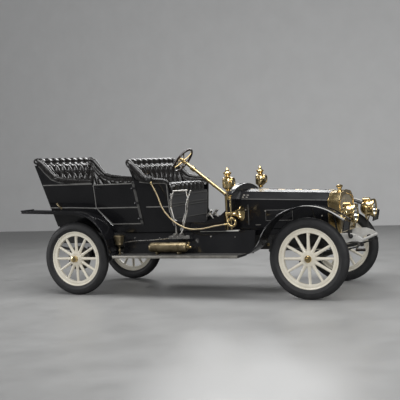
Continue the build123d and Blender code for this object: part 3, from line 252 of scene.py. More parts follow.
def bar(bm, start, end, radius, endRadius=None, sides=14):
    start, end = Vector(start), Vector(end)
    run = end - start
    turn = Vector((0, 0, 1)).rotation_difference(run).to_matrix().to_4x4()
    bmesh.ops.create_cone(bm, cap_ends=True, segments=sides, radius1=radius,
                          radius2=radius if endRadius is None else endRadius, depth=run.length,
                          matrix=Matrix.Translation((start + end) / 2) @ turn)


def block(bm, centre, size, turn=None, bevel=0.0):
    placeTurn = turn.to_4x4() if turn else Matrix.Identity(4)
    made = bmesh.ops.create_cube(bm, size=1, matrix=Matrix.Translation(centre) @ placeTurn
                                 @ Matrix.Diagonal((*size, 1)))
    if bevel:
        edges = list({e for v in made["verts"] for e in v.link_edges})
        bmesh.ops.bevel(bm, geom=edges, offset=bevel, segments=2, profile=0.5, affect="EDGES", material=-1)


def ball(bm, centre, radius, sides=14, squeeze=(1, 1, 1)):
    bmesh.ops.create_uvsphere(bm, u_segments=sides, v_segments=max(6, sides // 2), radius=radius,
                              matrix=Matrix.Translation(centre) @ Matrix.Diagonal((*squeeze, 1)))


def hoop(bm, centre, axis, radius, section, steps=48, sides=12):
    # a ring of round section about an axis
    axis = Vector(axis).normalized()
    aside = axis.orthogonal().normalized()
    turn = Matrix((aside, axis, aside.cross(axis))).transposed().to_4x4()
    made = bmesh.ops.create_circle(bm, cap_ends=False, segments=sides, radius=section,
                                   matrix=Matrix.Translation(Vector(centre) + aside * radius) @ turn)
    edges = list({e for v in made["verts"] for e in v.link_edges})
    bmesh.ops.spin(bm, geom=made["verts"] + edges, cent=centre, axis=axis, angle=2 * math.pi, steps=steps,
                   use_merge=True, use_duplicate=False)


def wire(bm, points, radius, smooth=False, sides=3, flat=None, closed=False):
    # a bent bar along points; flat is (point, normal, share): the bar is pressed towards that plane
    curve = bpy.data.curves.new("wire", "CURVE")
    curve.dimensions = "3D"
    curve.bevel_depth = radius
    curve.bevel_resolution = sides
    curve.use_fill_caps = True
    spline = curve.splines.new("NURBS" if smooth else "POLY")
    spline.points.add(len(points) - 1)
    for spot, point in zip(spline.points, points):
        spot.co = (*point, 1)
    spline.use_cyclic_u = closed
    if smooth:
        spline.order_u = 3
        spline.use_endpoint_u = not closed
        spline.resolution_u = 6
    obj = bpy.data.objects.new("wire", curve)
    scene.collection.objects.link(obj)
    mesh = bpy.data.meshes.new_from_object(obj.evaluated_get(bpy.context.evaluated_depsgraph_get()))
    if flat:
        origin, normal, share = Vector(flat[0]), Vector(flat[1]).normalized(), flat[2]
        for vert in mesh.vertices:
            vert.co -= normal * (vert.co - origin).dot(normal) * (1 - share)
    bm.from_mesh(mesh)
    bpy.data.objects.remove(obj)
    bpy.data.curves.remove(curve)
    bpy.data.meshes.remove(mesh)


def plate(bm, spots, push, bevel=0.0):
    # a flat plate: a face through the spots, thickened by the push
    face = bm.faces.new([bm.verts.new(spot) for spot in spots])
    grown = bmesh.ops.extrude_face_region(bm, geom=[face])
    top = [v for v in grown["geom"] if isinstance(v, bmesh.types.BMVert)]
    bmesh.ops.translate(bm, verts=top, vec=Vector(push))
    if bevel:
        edges = list({e for v in top for e in v.link_edges})
        bmesh.ops.bevel(bm, geom=edges, offset=bevel, segments=2, profile=0.5, affect="EDGES", material=-1)


def bodySpot(x, z, side, out=0.0):
    return Vector((at(x), side * (sideY(z) + out), z))


def sideNormal(side):
    return Vector((0, side, -bodyLean)).normalized()


def bodyStripe(bm, points, width, side, share=0.35):
    # a flat moulding on the body's leaning side, through points of (x, z)
    spots = [bodySpot(x, z, side) for x, z in points]
    wire(bm, spots, width / 2, flat=(spots[0], sideNormal(side), share))


def arcPoints(x, z, radius, start, end, count):
    # points (x, z) on a circle, the angle in degrees from forward towards up
    turns = [math.radians(start + (end - start) * i / count) for i in range(count + 1)]
    return [(x + radius * math.cos(t), z + radius * math.sin(t)) for t in turns]


# CAD nodes that keep their shape, with their finishes
finishTable = {
    "coachBlack": ("body_back", "body_quarters", "body_front_sides", "door_left", "door_right",
                   "fenders_front", "fenders_rear", "splash_aprons", "hood_left", "hood_right",
                   "hood_ledges", "dashboard", "rear_seat_box", "front_seat_back", "body_floor"),
    "riserPaint": ("front_seat_box",),
    "chassisBlack": ("frame_rails", "cross_members", "springs", "front_axle", "rear_axle", "knuckle_left",
                     "knuckle_right", "tie_rod", "drag_link", "pitman_arm"),
    "brass": ("radiator_shell", "headlamps", "side_lamps", "horn", "gas_cylinder", "gas_generator",
              "hood_rod", "steering_column"),
    "nickel": ("levers_and_pedals",),
    "castIron": ("engine_block", "gearbox_and_shaft", "starting_crank"),
    "blackLeather": ("front_seat_cushion", "front_seat_upholstery", "rear_seat_cushion",
                     "rear_seat_upholstery"),
    "creamPaint": ("wheel_front_right", "wheel_front_left", "wheel_rear_right", "wheel_rear_left"),
    "tyreRubber": ("tyre_front_right", "tyre_front_left", "tyre_rear_right", "tyre_rear_left"),
    "blackRubber": ("horn_bulb", "horn_tube"),
    "coreMetal": ("radiator_core",),
    "boardMat": ("running_boards",),
    "rimWood": ("steering_wheel",),
}
for finish, names in finishTable.items():
    for nodeName in names:
        nodes[nodeName].data.materials.clear()
        nodes[nodeName].data.materials.append(materials[finish])

# Wheels and tyres
wheel = {
    "spokes": 12,
    "spokeRadius": (0.0230, 0.0172),
    "rim": [(-0.024, 0.291), (-0.024, 0.314), (-0.020, 0.316), (-0.020, 0.319), (-0.024, 0.321),
            (-0.024, 0.328), (-0.030, 0.331), (-0.034, 0.337), (-0.033, 0.344), (-0.028, 0.345),
            (0.028, 0.345), (0.033, 0.344), (0.034, 0.337), (0.030, 0.331), (0.024, 0.328), (0.024, 0.321),
            (0.020, 0.319), (0.020, 0.316), (0.024, 0.314), (0.024, 0.291), (0.018, 0.287), (-0.018, 0.287),
            (-0.024, 0.291)],
    "flange": [(0.020, 0.0), (0.020, 0.084), (0.026, 0.088), (0.030, 0.086), (0.032, 0.078), (0.032, 0.046),
               (0.040, 0.043), (0.040, 0.0)],
    "tyre": [(-0.026, 0.343), (-0.036, 0.350), (-0.044, 0.362), (-0.050, 0.380), (-0.0525, 0.384),
             (-0.0515, 0.390), (-0.0515, 0.406), (-0.048, 0.424), (-0.041, 0.439), (-0.033, 0.448),
             (-0.030, 0.4465), (-0.024, 0.4535), (-0.014, 0.4562), (-0.0125, 0.4535), (-0.0085, 0.4535),
             (-0.007, 0.4568), (0.007, 0.4568), (0.0085, 0.4535), (0.0125, 0.4535), (0.014, 0.4562),
             (0.024, 0.4535), (0.030, 0.4465), (0.033, 0.448), (0.041, 0.439), (0.048, 0.424),
             (0.0515, 0.406), (0.0515, 0.390), (0.0525, 0.384), (0.050, 0.380), (0.044, 0.362),
             (0.036, 0.350), (0.026, 0.343)],
    "bolts": 12,
    "boltRing": 0.066,
    "felloeRing": 0.308,
    "capRing": 0.030,
    "drumRing": 0.115,
}
capFront = [(0.038, 0.042), (0.048, 0.040), (0.052, 0.036), (0.062, 0.036), (0.066, 0.032), (0.066, 0.016),
            (0.070, 0.013), (0.071, 0.0)]
capRear = [(0.038, 0.040), (0.050, 0.039), (0.056, 0.034), (0.080, 0.034), (0.084, 0.038), (0.092, 0.036),
           (0.097, 0.024), (0.099, 0.0)]
brakeDrum = [(-0.032, 0.0), (-0.032, 0.148), (-0.036, 0.152), (-0.082, 0.152), (-0.086, 0.148),
             (-0.086, 0.136), (-0.060, 0.130), (-0.060, 0.0)]


def ringSpot(angle, radius):
    # place on a ring of bolts, the angle from the top
    return Vector((math.sin(angle), 0, math.cos(angle))) * radius


def addWheel(name, x, side, cap, drum):
    centre = Vector((x, side * wheelY, axleZ))
    out = Vector((0, side, 0))
    body = "wheel_" + name
    bm = bmesh.new()
    turned(bm, wheel["rim"], centre, out, 72)
    for face in (1, -1):
        turned(bm, [(face * a, r) for a, r in wheel["flange"]], centre, out, 36)
    for i in range(wheel["spokes"]):
        angle = 2 * math.pi * i / wheel["spokes"]
        reach = Vector((math.sin(angle), 0, math.cos(angle)))
        across = Vector((math.cos(angle), 0, -math.sin(angle)))
        turn = Matrix((across, out, reach)).transposed()
        bmesh.ops.create_cone(bm, cap_ends=True, segments=14, radius1=wheel["spokeRadius"][0],
                              radius2=wheel["spokeRadius"][1], depth=0.230,
                              matrix=Matrix.Translation(centre + reach * 0.177) @ turn.to_4x4()
                              @ Matrix.Diagonal((0.90, 1.08, 1, 1)))
        bmesh.ops.create_cone(bm, cap_ends=True, segments=14, radius1=0.0300, radius2=0.0205, depth=0.080,
                              matrix=Matrix.Translation(centre + reach * 0.100) @ turn.to_4x4()
                              @ Matrix.Diagonal((0.90, 0.86, 1, 1)))
    piece = finishPiece(bm, f"wheelWood.{name}", body, "creamPaint", 30)
    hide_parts("wheel_" + name)
    bm = bmesh.new()
    turned(bm, cap, centre, out, 36)
    for i in range(6):
        angle = math.pi / 3 * i
        spot = ringSpot(angle, wheel["capRing"])
        ball(bm, centre + spot + out * (cap[3][0] - 0.004), 0.006, 8)
    finishPiece(bm, f"hubCap.{name}", body, "brass")
    bm = bmesh.new()
    for i in range(wheel["bolts"]):
        angle = 2 * math.pi * (i + 0.5) / wheel["bolts"]
        spot = ringSpot(angle, wheel["boltRing"])
        for face in (-1, 1):
            bar(bm, centre + spot + out * face * 0.030, centre + spot + out * face * 0.039, 0.0065, sides=6)
    hoop(bm, centre + out * 0.034, out, 0.0455, 0.0025, 40, 8)
    # felloe bolts and the valve stem
    for i in range(6):
        angle = math.pi / 3 * i + math.pi / 12
        spot = ringSpot(angle, wheel["felloeRing"])
        bar(bm, centre + spot + out * 0.022, centre + spot + out * 0.029, 0.007, sides=6)
    bar(bm, centre + Vector((0.02, 0, 0.258)), centre + Vector((0.02, 0, 0.292)), 0.004, sides=8)
    finishPiece(bm, f"wheelBolts.{name}", body, "creamPaint")
    if drum:
        bm = bmesh.new()
        turned(bm, brakeDrum, centre, out, 48)
        for i in range(8):
            angle = math.pi / 4 * i
            spot = ringSpot(angle, wheel["drumRing"])
            bar(bm, centre + spot - out * 0.034, centre + spot - out * 0.026, 0.008, sides=6)
        finishPiece(bm, f"brakeDrum.{name}", body, "castIron")
    bm = bmesh.new()
    turned(bm, wheel["tyre"], centre, out, 96)
    piece = finishPiece(bm, f"tyreCover.{name}", body, "tyreRubber", 50)
    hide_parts("tyre_" + name)


for name, x, side, cap, drum in (
        ("front_right", at(0), -1, capFront, False), ("front_left", at(0), 1, capFront, False),
        ("rear_right", at(-wheelbase), -1, capRear, True), ("rear_left", at(-wheelbase), 1, capRear, True)):
    addWheel(name, x, side, cap, drum)
print("wheels made")

# Seats: buttoned leather that lines the backs and arms, with its rolled top edge
rearSeat = {
    "name": "rearSeat", "node": "rear_seat_upholstery",
    "armFront": -2.834, "backX": (-3.405, -0.292, 0.8), "backInset": 0.031, "backThick": 0.030,
    "low": 1.270, "buttonLow": 1.345,  # heights of the leather's foot and of the lowest buttons
    "crest": [(-3.72, 1.756), (-3.60, 1.754), (-3.545, 1.728), (-3.485, 1.664), (-3.423, 1.582),
              (-3.359, 1.519), (-3.252, 1.489), (-3.036, 1.457), (-2.90, 1.448), (-2.83, 1.438)],
    "panelTop": [(-3.72, 1.660), (-3.594, 1.660), (-3.491, 1.531), (-3.365, 1.447), (-3.217, 1.414),
                 (-2.80, 1.412)],
    "roll": 0.044, "pad": 0.044, "puff": 0.030, "pleat": 0.132, "row": 0.115, "rows": 3,
}
frontSeat = {
    "name": "frontSeat", "node": "front_seat_upholstery",
    "armFront": -1.752, "backX": (-2.187, -0.30, 1.232), "backInset": 0.026, "backThick": 0.025,
    "low": 1.300, "buttonLow": 1.410,
    "crest": [(-2.40, 1.685), (-2.28, 1.683), (-2.239, 1.656), (-2.173, 1.586), (-2.100, 1.503),
              (-2.056, 1.458), (-1.959, 1.430), (-1.827, 1.416), (-1.775, 1.398), (-1.750, 1.376)],
    "panelTop": [(-2.40, 1.602), (-2.285, 1.600), (-2.240, 1.500), (-2.212, 1.442), (-2.200, 1.425),
                 (-2.135, 1.395), (-1.98, 1.377), (-1.80, 1.371), (-1.775, 1.355), (-1.745, 1.338)],
    "roll": 0.042, "pad": 0.044, "puff": 0.030, "pleat": 0.132, "row": 0.112, "rows": 2,
}
cornerTight = 0.050


def lineAt(table, x):
    # height of a table's line at x
    if x <= table[0][0]:
        return table[0][1]
    for (xa, za), (xb, zb) in zip(table, table[1:]):
        if x <= xb:
            return za + (zb - za) * (x - xa) / (xb - xa)
    return table[-1][1]


def tuft(u, v, pleat, row):
    # height of buttoned leather, 0 in the folds and 1 at the crowns
    a = u / pleat + v / (2 * row)
    b = u / pleat - v / (2 * row)
    return (abs(math.sin(math.pi * a)) * abs(math.sin(math.pi * b))) ** 0.42


def shellSpot(seat, share, z, corner):
    # point on the shell's inner face, the way outward, its x and the path's length
    # share runs 0 to 1 from right to left
    start, slope, datum = seat["backX"]
    back = start + slope * (z - datum) + seat["backInset"]
    half = sideY(z) - panelThick - 0.001
    arm = seat["armFront"] - (back + corner)
    arc = math.pi / 2 * corner
    total = 2 * arm + 2 * arc + 2 * (half - corner)
    s = min(share, 1 - share) * total
    sign = -1 if share > 0.5 else 1
    if s < arm:
        x, y, out = seat["armFront"] - s, -half, (0, -1)
    elif s < arm + arc:
        angle = (s - arm) / corner
        x = back + corner - corner * math.sin(angle)
        y = -half + corner - corner * math.cos(angle)
        out = (-math.sin(angle), -math.cos(angle))
    else:
        x, y, out = back, -half + corner + s - arm - arc, (-1, 0)
    return Vector((at(x), sign * y, z)), Vector((out[0], sign * out[1], 0)), x, total


def rollAt(seat, share):
    # crest height, panel top, roll radius, its stretch and wall thickness at this share
    x = shellSpot(seat, share, 1.5, cornerTight)[2]
    x = shellSpot(seat, share, lineAt(seat["crest"], x) - 0.04, cornerTight)[2]
    crest = lineAt(seat["crest"], x)
    panelTop = min(lineAt(seat["panelTop"], x), crest - 0.024)
    stretch = math.hypot(1, (lineAt(seat["crest"], x + 0.02) - lineAt(seat["crest"], x - 0.02)) / 0.04)
    radius = min(seat["roll"], (crest - panelTop) / (2 * stretch))
    facing = abs(shellSpot(seat, share, crest, cornerTight)[1].x)
    thick = panelThick + (seat["backThick"] - panelThick) * facing
    return crest, panelTop, radius, stretch, thick


def cornerAt(z):
    return max(cornerTight, 0.15 - 0.34 * (z - 1.30))


def cellAt(seat, u, z):
    rise = min(max(z - seat["buttonLow"], 0), seat["rows"] * seat["row"])
    return tuft(u, rise, seat["pleatTrue"], seat["row"])


def padDepth(seat, u, z, zTop, rollDepth, facing):
    # the folds die out under the smooth rolls of the arms and run on over the roll of the back
    cell = cellAt(seat, u, z)
    edge = min(1, max(0, (zTop - z) / 0.05))
    edge = edge * edge * (3 - 2 * edge)
    crown = seat["pad"] + seat["puff"] * cell
    return crown * edge + (rollDepth - 0.004 - 0.014 * facing * (1 - cell)) * (1 - edge)


def addSeatShell(seat):
    columns, innerRows, rollRows, outerRows = 336, 36, 12, 5
    rows = innerRows + rollRows + outerRows + 3
    total = shellSpot(seat, 0, 1.45, 0.1)[3]
    pleats = round(total / seat["pleat"])
    seat["pleatTrue"] = total / pleats
    rollStart, rollEnd = math.radians(-25), math.radians(205)
    bm = bmesh.new()
    bmesh.ops.create_grid(bm, x_segments=columns, y_segments=rows, size=0.5)
    for vert in bm.verts:
        share = min(1, max(0, vert.co.x + 0.5))
        level = round((vert.co.y + 0.5) * rows)
        crest, panelTop, radius, stretch, thick = rollAt(seat, share)
        middle = crest - radius * stretch
        zTop = middle + radius * stretch * math.sin(rollStart)
        rollDepth = radius * math.cos(rollStart) - thick / 2
        u = share * total
        if level <= innerRows or level == rows:
            z = seat["low"] + (zTop - seat["low"]) * (level % rows) / innerRows
            spot, out = shellSpot(seat, share, z, cornerAt(z))[:2]
            vert.co = spot - out * padDepth(seat, u, z, zTop, rollDepth, abs(out.x))
        elif level <= innerRows + rollRows:
            angle = rollStart + (rollEnd - rollStart) * (level - innerRows) / rollRows
            z = middle + radius * stretch * math.sin(angle)
            spot, out = shellSpot(seat, share, middle, cornerTight)[:2]
            fold = 0.30 * abs(out.x) * (1 - cellAt(seat, u, z)) * min(1, max(0, (2.6 - angle) / 0.8))
            spot.z = middle + radius * stretch * math.sin(angle) * (1 - fold)
            vert.co = spot + out * (thick / 2 - radius * math.cos(angle) * (1 - fold))
        elif level <= innerRows + rollRows + outerRows:
            done = (level - innerRows - rollRows) / outerRows
            topZ = middle + radius * stretch * math.sin(rollEnd)
            z = topZ + (panelTop - 0.006 - topZ) * done
            spot, out = shellSpot(seat, share, z, cornerTight)[:2]
            reach = (thick / 2 - radius * math.cos(rollEnd)) * (1 - done) ** 2 + (thick + 0.004) * (
                1 - (1 - done) ** 2)
            vert.co = spot + out * reach
        else:
            # inside the panel: under the wall's foot, then down behind the pad
            last = level == rows - 1
            z = seat["low"] if last else panelTop - 0.006
            spot, out = shellSpot(seat, share, z, cornerTight)[:2]
            vert.co = spot + out * (-0.001 if last else 0.004)
    bmesh.ops.remove_doubles(bm, verts=bm.verts, dist=1e-5)
    bmesh.ops.holes_fill(bm, edges=[e for e in bm.edges if e.is_boundary], sides=0)
    piece = finishPiece(bm, seat["name"] + "Leather", "chassis", "blackLeather", 60)
    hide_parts(seat["node"])
    # buttons where the folds meet, and piping along the roll's outer foot
    bm = bmesh.new()
    for row in range(seat["rows"] + 1):
        z = seat["buttonLow"] + row * seat["row"]
        for i in range(1, 2 * pleats):
            share = i / (2 * pleats)
            crest, panelTop, radius, stretch, thick = rollAt(seat, share)
            if (i + row) % 2 or z > crest - 2.2 * radius * stretch - 0.02:
                continue
            spot, out = shellSpot(seat, share, z, cornerAt(z))[:2]
            ball(bm, spot - out * (seat["pad"] + 0.001), 0.009, 10)
    finishPiece(bm, seat["name"] + "Buttons", "chassis", "blackLeather")
    bm = bmesh.new()
    spots = []
    for i in range(169):
        share = i / 168
        crest, panelTop, radius, stretch, thick = rollAt(seat, share)
        z = crest - radius * stretch * 1.62
        spot, out = shellSpot(seat, share, z, cornerTight)[:2]
        spots.append(spot + out * (thick / 2 + radius * 0.90))
    wire(bm, spots, 0.0045, sides=2)
    finishPiece(bm, seat["name"] + "Piping", "chassis", "blackLeather")


addSeatShell(rearSeat)
addSeatShell(frontSeat)
print("seat backs made")

cushions = [
    {"name": "rearCushion", "node": "rear_seat_cushion"},
    {"name": "frontCushion", "node": "front_seat_cushion"},
]
cushionShape = {"pleat": 0.132, "row": 0.110, "edge": 0.045, "puff": 0.024, "crown": 0.012, "pull": 0.006}


def addCushion(cushion):
    # a grid for the top, its rim rolled over the edge and down to the seat board, closed below
    low, high = (Vector(c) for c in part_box(cushion["node"]))
    shape = cushionShape
    edge = shape["edge"]
    middle = (low + high) / 2
    halfX, halfY = (high.x - low.x) / 2 - edge, (high.y - low.y) / 2 - edge
    pleats = round(2 * halfY / shape["pleat"])
    pleat = 2 * halfY / pleats
    bm = bmesh.new()
    bmesh.ops.create_grid(bm, x_segments=44, y_segments=110, size=1,
                          matrix=Matrix.Translation((middle.x, middle.y, high.z)) @ Matrix.Diagonal(
                              (halfX, halfY, 1, 1)))
    rim = [e for e in bm.edges if e.is_boundary]
    bases = {v: v.co.copy() for e in rim for v in e.verts}
    turns = [math.radians(a) for a in (22, 45, 68, 90)]
    steps = [(edge * math.sin(a), edge * (1 - math.cos(a))) for a in turns]
    depth = high.z - low.z
    steps += [(edge + 0.001, edge + (depth - edge) * 0.5), (edge - 0.006, depth - 0.004),
              (edge - 0.012, depth)]
    for reach, drop in steps:
        grown = bmesh.ops.extrude_edge_only(bm, edges=rim)
        fresh = [g for g in grown["geom"] if isinstance(g, bmesh.types.BMVert)]
        rim = [g for g in grown["geom"] if isinstance(g, bmesh.types.BMEdge) and g.is_boundary]
        nearest = {}
        for vert in fresh:
            old = [e.other_vert(vert) for e in vert.link_edges if e.other_vert(vert) in bases]
            nearest[vert] = bases[old[0]]
        bases = nearest
        for vert in fresh:
            base = bases[vert]
            aside = Vector((0, 0, 0))
            if abs(abs(base.x - middle.x) - halfX) < 1e-4:
                aside.x = math.copysign(1, base.x - middle.x)
            if abs(abs(base.y - middle.y) - halfY) < 1e-4:
                aside.y = math.copysign(1, base.y - middle.y)
            vert.co = base + aside.normalized() * reach - Vector((0, 0, drop))
    bmesh.ops.holes_fill(bm, edges=rim, sides=0)
    for vert in bm.verts:
        across = (vert.co.y - middle.y) + halfY
        along = (high.x - vert.co.x) - edge
        v = min(max(along, 0), 3 * shape["row"])
        cell = tuft(min(max(across, 0), 2 * halfY), v, pleat, shape["row"])
        height = (vert.co.z - low.z) / depth
        if height < 0.12:
            continue
        fade = min(1, (height - 0.12) / 0.5)
        swell = math.cos(math.pi / 2 * min(1, abs(vert.co.y - middle.y) / (halfY + edge))) ** 0.5
        if abs(vert.co.z - high.z) < edge * 0.8:
            vert.co.z += shape["puff"] * (cell - 1) * fade + shape["crown"] * (swell - 1)
        if vert.co.x > high.x - edge:
            vert.co.x += 0.5 * shape["puff"] * (cell - 1) * fade
        vert.co.y -= math.copysign(shape["pull"], vert.co.y) * (abs(vert.co.y) > halfY) * (
            1 - (abs(vert.co.x - middle.x) / (halfX + edge)) ** 2)
    piece = finishPiece(bm, cushion["name"], "chassis", "blackLeather", 60)
    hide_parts(cushion["node"])
    bm = bmesh.new()
    for row in range(4):
        for i in range(1, 2 * pleats):
            if (i + row) % 2 == 0:
                y = middle.y - halfY + i * pleat / 2
                swell = math.cos(math.pi / 2 * abs(y - middle.y) / (halfY + edge)) ** 0.5
                z = high.z - shape["puff"] + shape["crown"] * (swell - 1) + 0.003
                ball(bm, (high.x - edge - row * shape["row"], y, z), 0.009, 10, (1, 1, 0.7))
    finishPiece(bm, cushion["name"] + "Buttons", "chassis", "blackLeather")


for cushion in cushions:
    addCushion(cushion)
print("cushions made")

# Grey mouldings on the body's sides and doors
mouldings = {
    "width": 0.015,
    "body": [[(-3.568, 1.397), (-2.822, 1.389)], [(-3.500, 1.102), (-3.148, 1.095), (-2.822, 1.080)],
             [(-2.085, 1.076), (-1.771, 1.073)], [(-1.774, 1.350), (-1.774, 1.000)],
             [(-3.594, 1.650), (-3.521, 1.561), (-3.424, 1.466), (-3.299, 1.424), (-3.077, 1.406),
              (-2.835, 1.404)]],
    "frontTop": [(-2.140, 1.388), (-1.98, 1.368), (-1.81, 1.362), (-1.780, 1.350)],
    "door": [(-2.250, 1.374), (-2.805, 1.374), (-2.805, 1.081), (-2.592, 0.872), (-2.190, 0.872)],
    "doorBelt": [(-2.805, 1.080), (-2.192, 1.076)],
}
hingeHeights = (0.930, 1.130, 1.315)
bm = bmesh.new()
for side in (-1, 1):
    for points in mouldings["body"]:
        bodyStripe(bm, points, mouldings["width"], side)
    # on the left this line starts at its second point
    frontTop = mouldings["frontTop"][1 if side > 0 else 0:]
    bodyStripe(bm, frontTop, mouldings["width"], side)
# round the sloping back at the same heights
backStart, backSlope, backDatum = rearSeat["backX"]
for z in (1.397, 1.102):
    x = backStart + backSlope * (z - backDatum)
    wire(bm, [(at(x), -sideY(z), z), (at(x), sideY(z), z)], mouldings["width"] / 2,
         flat=((at(x), 0, z), (1, 0, -backSlope), 0.35))
finishPiece(bm, "bodyMouldings", "chassis", "greyLineAndHighlight")
for sideName, side in (("right", -1), ("left", 1)):
    door = "door_" + sideName
    bm = bmesh.new()
    bodyStripe(bm, mouldings["door"], mouldings["width"], side)
    bodyStripe(bm, mouldings["doorBelt"], mouldings["width"], side)
    finishPiece(bm, f"doorMoulding.{sideName}", door, "greyLineAndHighlight")
    bm = bmesh.new()
    bodyStripe(bm, [(-2.232, 1.374), (-2.196, 1.080), (-2.170, 0.870)], 0.036, side, 0.14)
    finishPiece(bm, f"doorPost.{sideName}", door, "postLine")
    bm = bmesh.new()
    wire(bm, [bodySpot(-2.775, 1.335, side), bodySpot(-2.775, 1.335, side, 0.022),
              bodySpot(-2.740, 1.335, side, 0.026), bodySpot(-2.690, 1.328, side, 0.024)],
              0.006, smooth=True)
    bar(bm, bodySpot(-2.775, 1.335, side, -0.004), bodySpot(-2.775, 1.335, side, 0.006), 0.018)
    lean = Matrix.Rotation(math.atan(bodyLean) * side, 3, "X")
    for z in hingeHeights:
        x = -2.145 - 0.067 * (z - 0.861) / 0.521
        block(bm, bodySpot(x - 0.036, z, side, 0.003), (0.056, 0.006, 0.028), lean, 0.001)
        for step in (-0.050, -0.024):
            ball(bm, bodySpot(x + step, z, side, 0.006), 0.0045, 8)
    finishPiece(bm, f"doorFittings.{sideName}", door, "coachBlack")
    # leather lining inside the door
    bm = bmesh.new()
    inner = [(-2.785, 1.355), (-2.785, 1.095), (-2.585, 0.890), (-2.205, 0.890), (-2.270, 1.355)]
    plate(bm, [bodySpot(x, z, side, -panelThick - 0.001) for x, z in inner],
          -sideNormal(side) * 0.010, 0.004)
    finishPiece(bm, f"doorLining.{sideName}", door, "blackLeather")
print("body trim made")

# Brass fittings on the body: rear hooks, side knobs, the bracket of the bulb
bm = bmesh.new()
for side in (-1, 1):
    wire(bm, [bodySpot(-3.385, 1.150, side, 0.004), bodySpot(-3.368, 1.140, side, 0.022),
              bodySpot(-3.345, 1.115, side, 0.022), bodySpot(-3.330, 1.095, side, 0.004)],
              0.008, smooth=True)
    for x, z in ((-3.385, 1.150), (-3.330, 1.095)):
        bar(bm, bodySpot(x, z, side, -0.004), bodySpot(x, z, side, 0.005), 0.013)
    bar(bm, bodySpot(-1.954, 1.337, side, -0.004), bodySpot(-1.954, 1.337, side, 0.010), 0.006)
    ball(bm, bodySpot(-1.954, 1.337, side, 0.013), 0.010, 10)
bulbNeck = Vector(tubeStart)
bar(bm, (bulbNeck.x, -sideY(1.352) + 0.006, 1.352), (bulbNeck.x, -0.682, 1.352), 0.006)
hoop(bm, bulbNeck + Vector((0, 0, -0.004)), hornTube["neckWay"], 0.011, 0.004, 24, 8)
finishPiece(bm, "bodyFittings", "chassis", "agedBrass")

# Seat front: mouldings on the panel under the front cushion
seatFront = {"x": -1.764, "heights": (1.205, 1.100, 1.068, 0.915), "post": (0.83, 1.2), "bead": 0.006}
seatFaceX = at(seatFront["x"])
bm = bmesh.new()
for z in seatFront["heights"]:
    half = sideY(z) - 0.055
    wire(bm, [(seatFaceX, -half, z), (seatFaceX, half, z)], seatFront["bead"], sides=2)
for side in (-1, 1):
    post = [(seatFaceX, side * (sideY(z) - 0.060), z) for z in seatFront["post"]]
    wire(bm, post, seatFront["bead"], sides=2)
finishPiece(bm, "seatFrontMouldings", "chassis", "postLine")

# Floor covering of both compartments
bm = bmesh.new()
for start, end, half in ((-2.94, -2.20, 0.495), (-1.74, -1.345, 0.495)):
    block(bm, (at((start + end) / 2), 0, 0.7925), (end - start, 2 * half, 0.005), bevel=0.002)
    for i in range(16):
        y = -half + 2 * half * (i + 0.5) / 16
        block(bm, (at((start + end) / 2), y, 0.796), (end - start - 0.03, 0.012, 0.003))
finishPiece(bm, "floorMats", "chassis", "boardMat")

# Fenders: beads along their free edges
fenderEdge = {
    "y": 0.850, "innerY": 0.583, "radius": 0.007,
    "front": [(0.430, 0.768)] + arcPoints(0.020, 0.457, 0.606, 44.3, 44.3, 1)[:1] + arcPoints(
        0.020, 0.457, 0.588, 60.3, 156, 24),
    "frontSweep": (-0.7937, 0.805, 0.300),
    "rearSweep": (-2.450, 0.555, 0.050),
    "rear": arcPoints(-wheelbase, 0.505, 0.553, 5, 92.5, 22) + [(-3.766, 1.086)],
}
sweepX, sweepZ, sweepRadius = fenderEdge["frontSweep"]
frontEdge = fenderEdge["front"] + arcPoints(sweepX, sweepZ, sweepRadius, 338, 272, 12)
bm = bmesh.new()
for side in (-1, 1):
    outer = [(at(x), side * fenderEdge["y"], z) for x, z in frontEdge]
    wire(bm, outer, fenderEdge["radius"], sides=2)
    inner = [(at(x), side * fenderEdge["innerY"], z) for x, z in frontEdge[:20]]
    wire(bm, inner, 0.005, sides=2)
    wire(bm, [inner[0], outer[0]], fenderEdge["radius"], sides=2)
    rearEdge = arcPoints(*fenderEdge["rearSweep"], 270, 190, 6) + fenderEdge["rear"]
    outer = [(at(x), side * fenderEdge["y"], z) for x, z in rearEdge]
    inner = [(at(x), side * fenderEdge["innerY"], z) for x, z in rearEdge[-3:]]
    wire(bm, outer + [inner[-1]], fenderEdge["radius"], sides=2)
    # the tail's outer edge is turned down
    lipLine = arcPoints(-wheelbase, 0.505, 0.553, 66, 92.5, 8) + [(-3.764, 1.083)]
    lip = [(at(x), side * 0.846, z - 0.015) for x, z in lipLine]
    wire(bm, lip, 0.018, flat=(lip[0], (0, 1, 0), 0.30))
    # irons from the frame to the front fender
    for x, z in ((0.020, 1.036), (0.250, 0.985)):
        wire(bm, [(at(x), side * 0.372, 0.665), (at(x), side * 0.430, 0.800), (at(x), side * 0.588, z)],
             0.010, smooth=True)
finishPiece(bm, "fenderBeads", "chassis", "coachBlack")

# Running boards: ribbed covering and a metal edge
board = {"front": -0.800, "rear": -2.445, "inner": 0.600, "outer": 0.836, "top": 0.505, "ribs": 11}
boardLength = board["front"] - board["rear"]
boardX = at((board["front"] + board["rear"]) / 2)
bm = bmesh.new()
for side in (-1, 1):
    for i in range(board["ribs"]):
        y = board["inner"] + (board["outer"] - board["inner"]) * (i + 0.5) / board["ribs"]
        block(bm, (boardX, side * y, board["top"] + 0.0015), (boardLength - 0.03, 0.012, 0.003))
finishPiece(bm, "boardRibs", "chassis", "boardMat")
bm = bmesh.new()
for side in (-1, 1):
    block(bm, (boardX, side * 0.853, 0.492), (boardLength, 0.005, 0.032), bevel=0.0015)
    block(bm, (boardX, side * 0.846, 0.5065), (boardLength, 0.018, 0.003), bevel=0.001)
    for i in range(12):
        x = boardX + boardLength * ((i + 0.5) / 12 - 0.5)
        ball(bm, (x, side * 0.856, 0.492), 0.004, 8)
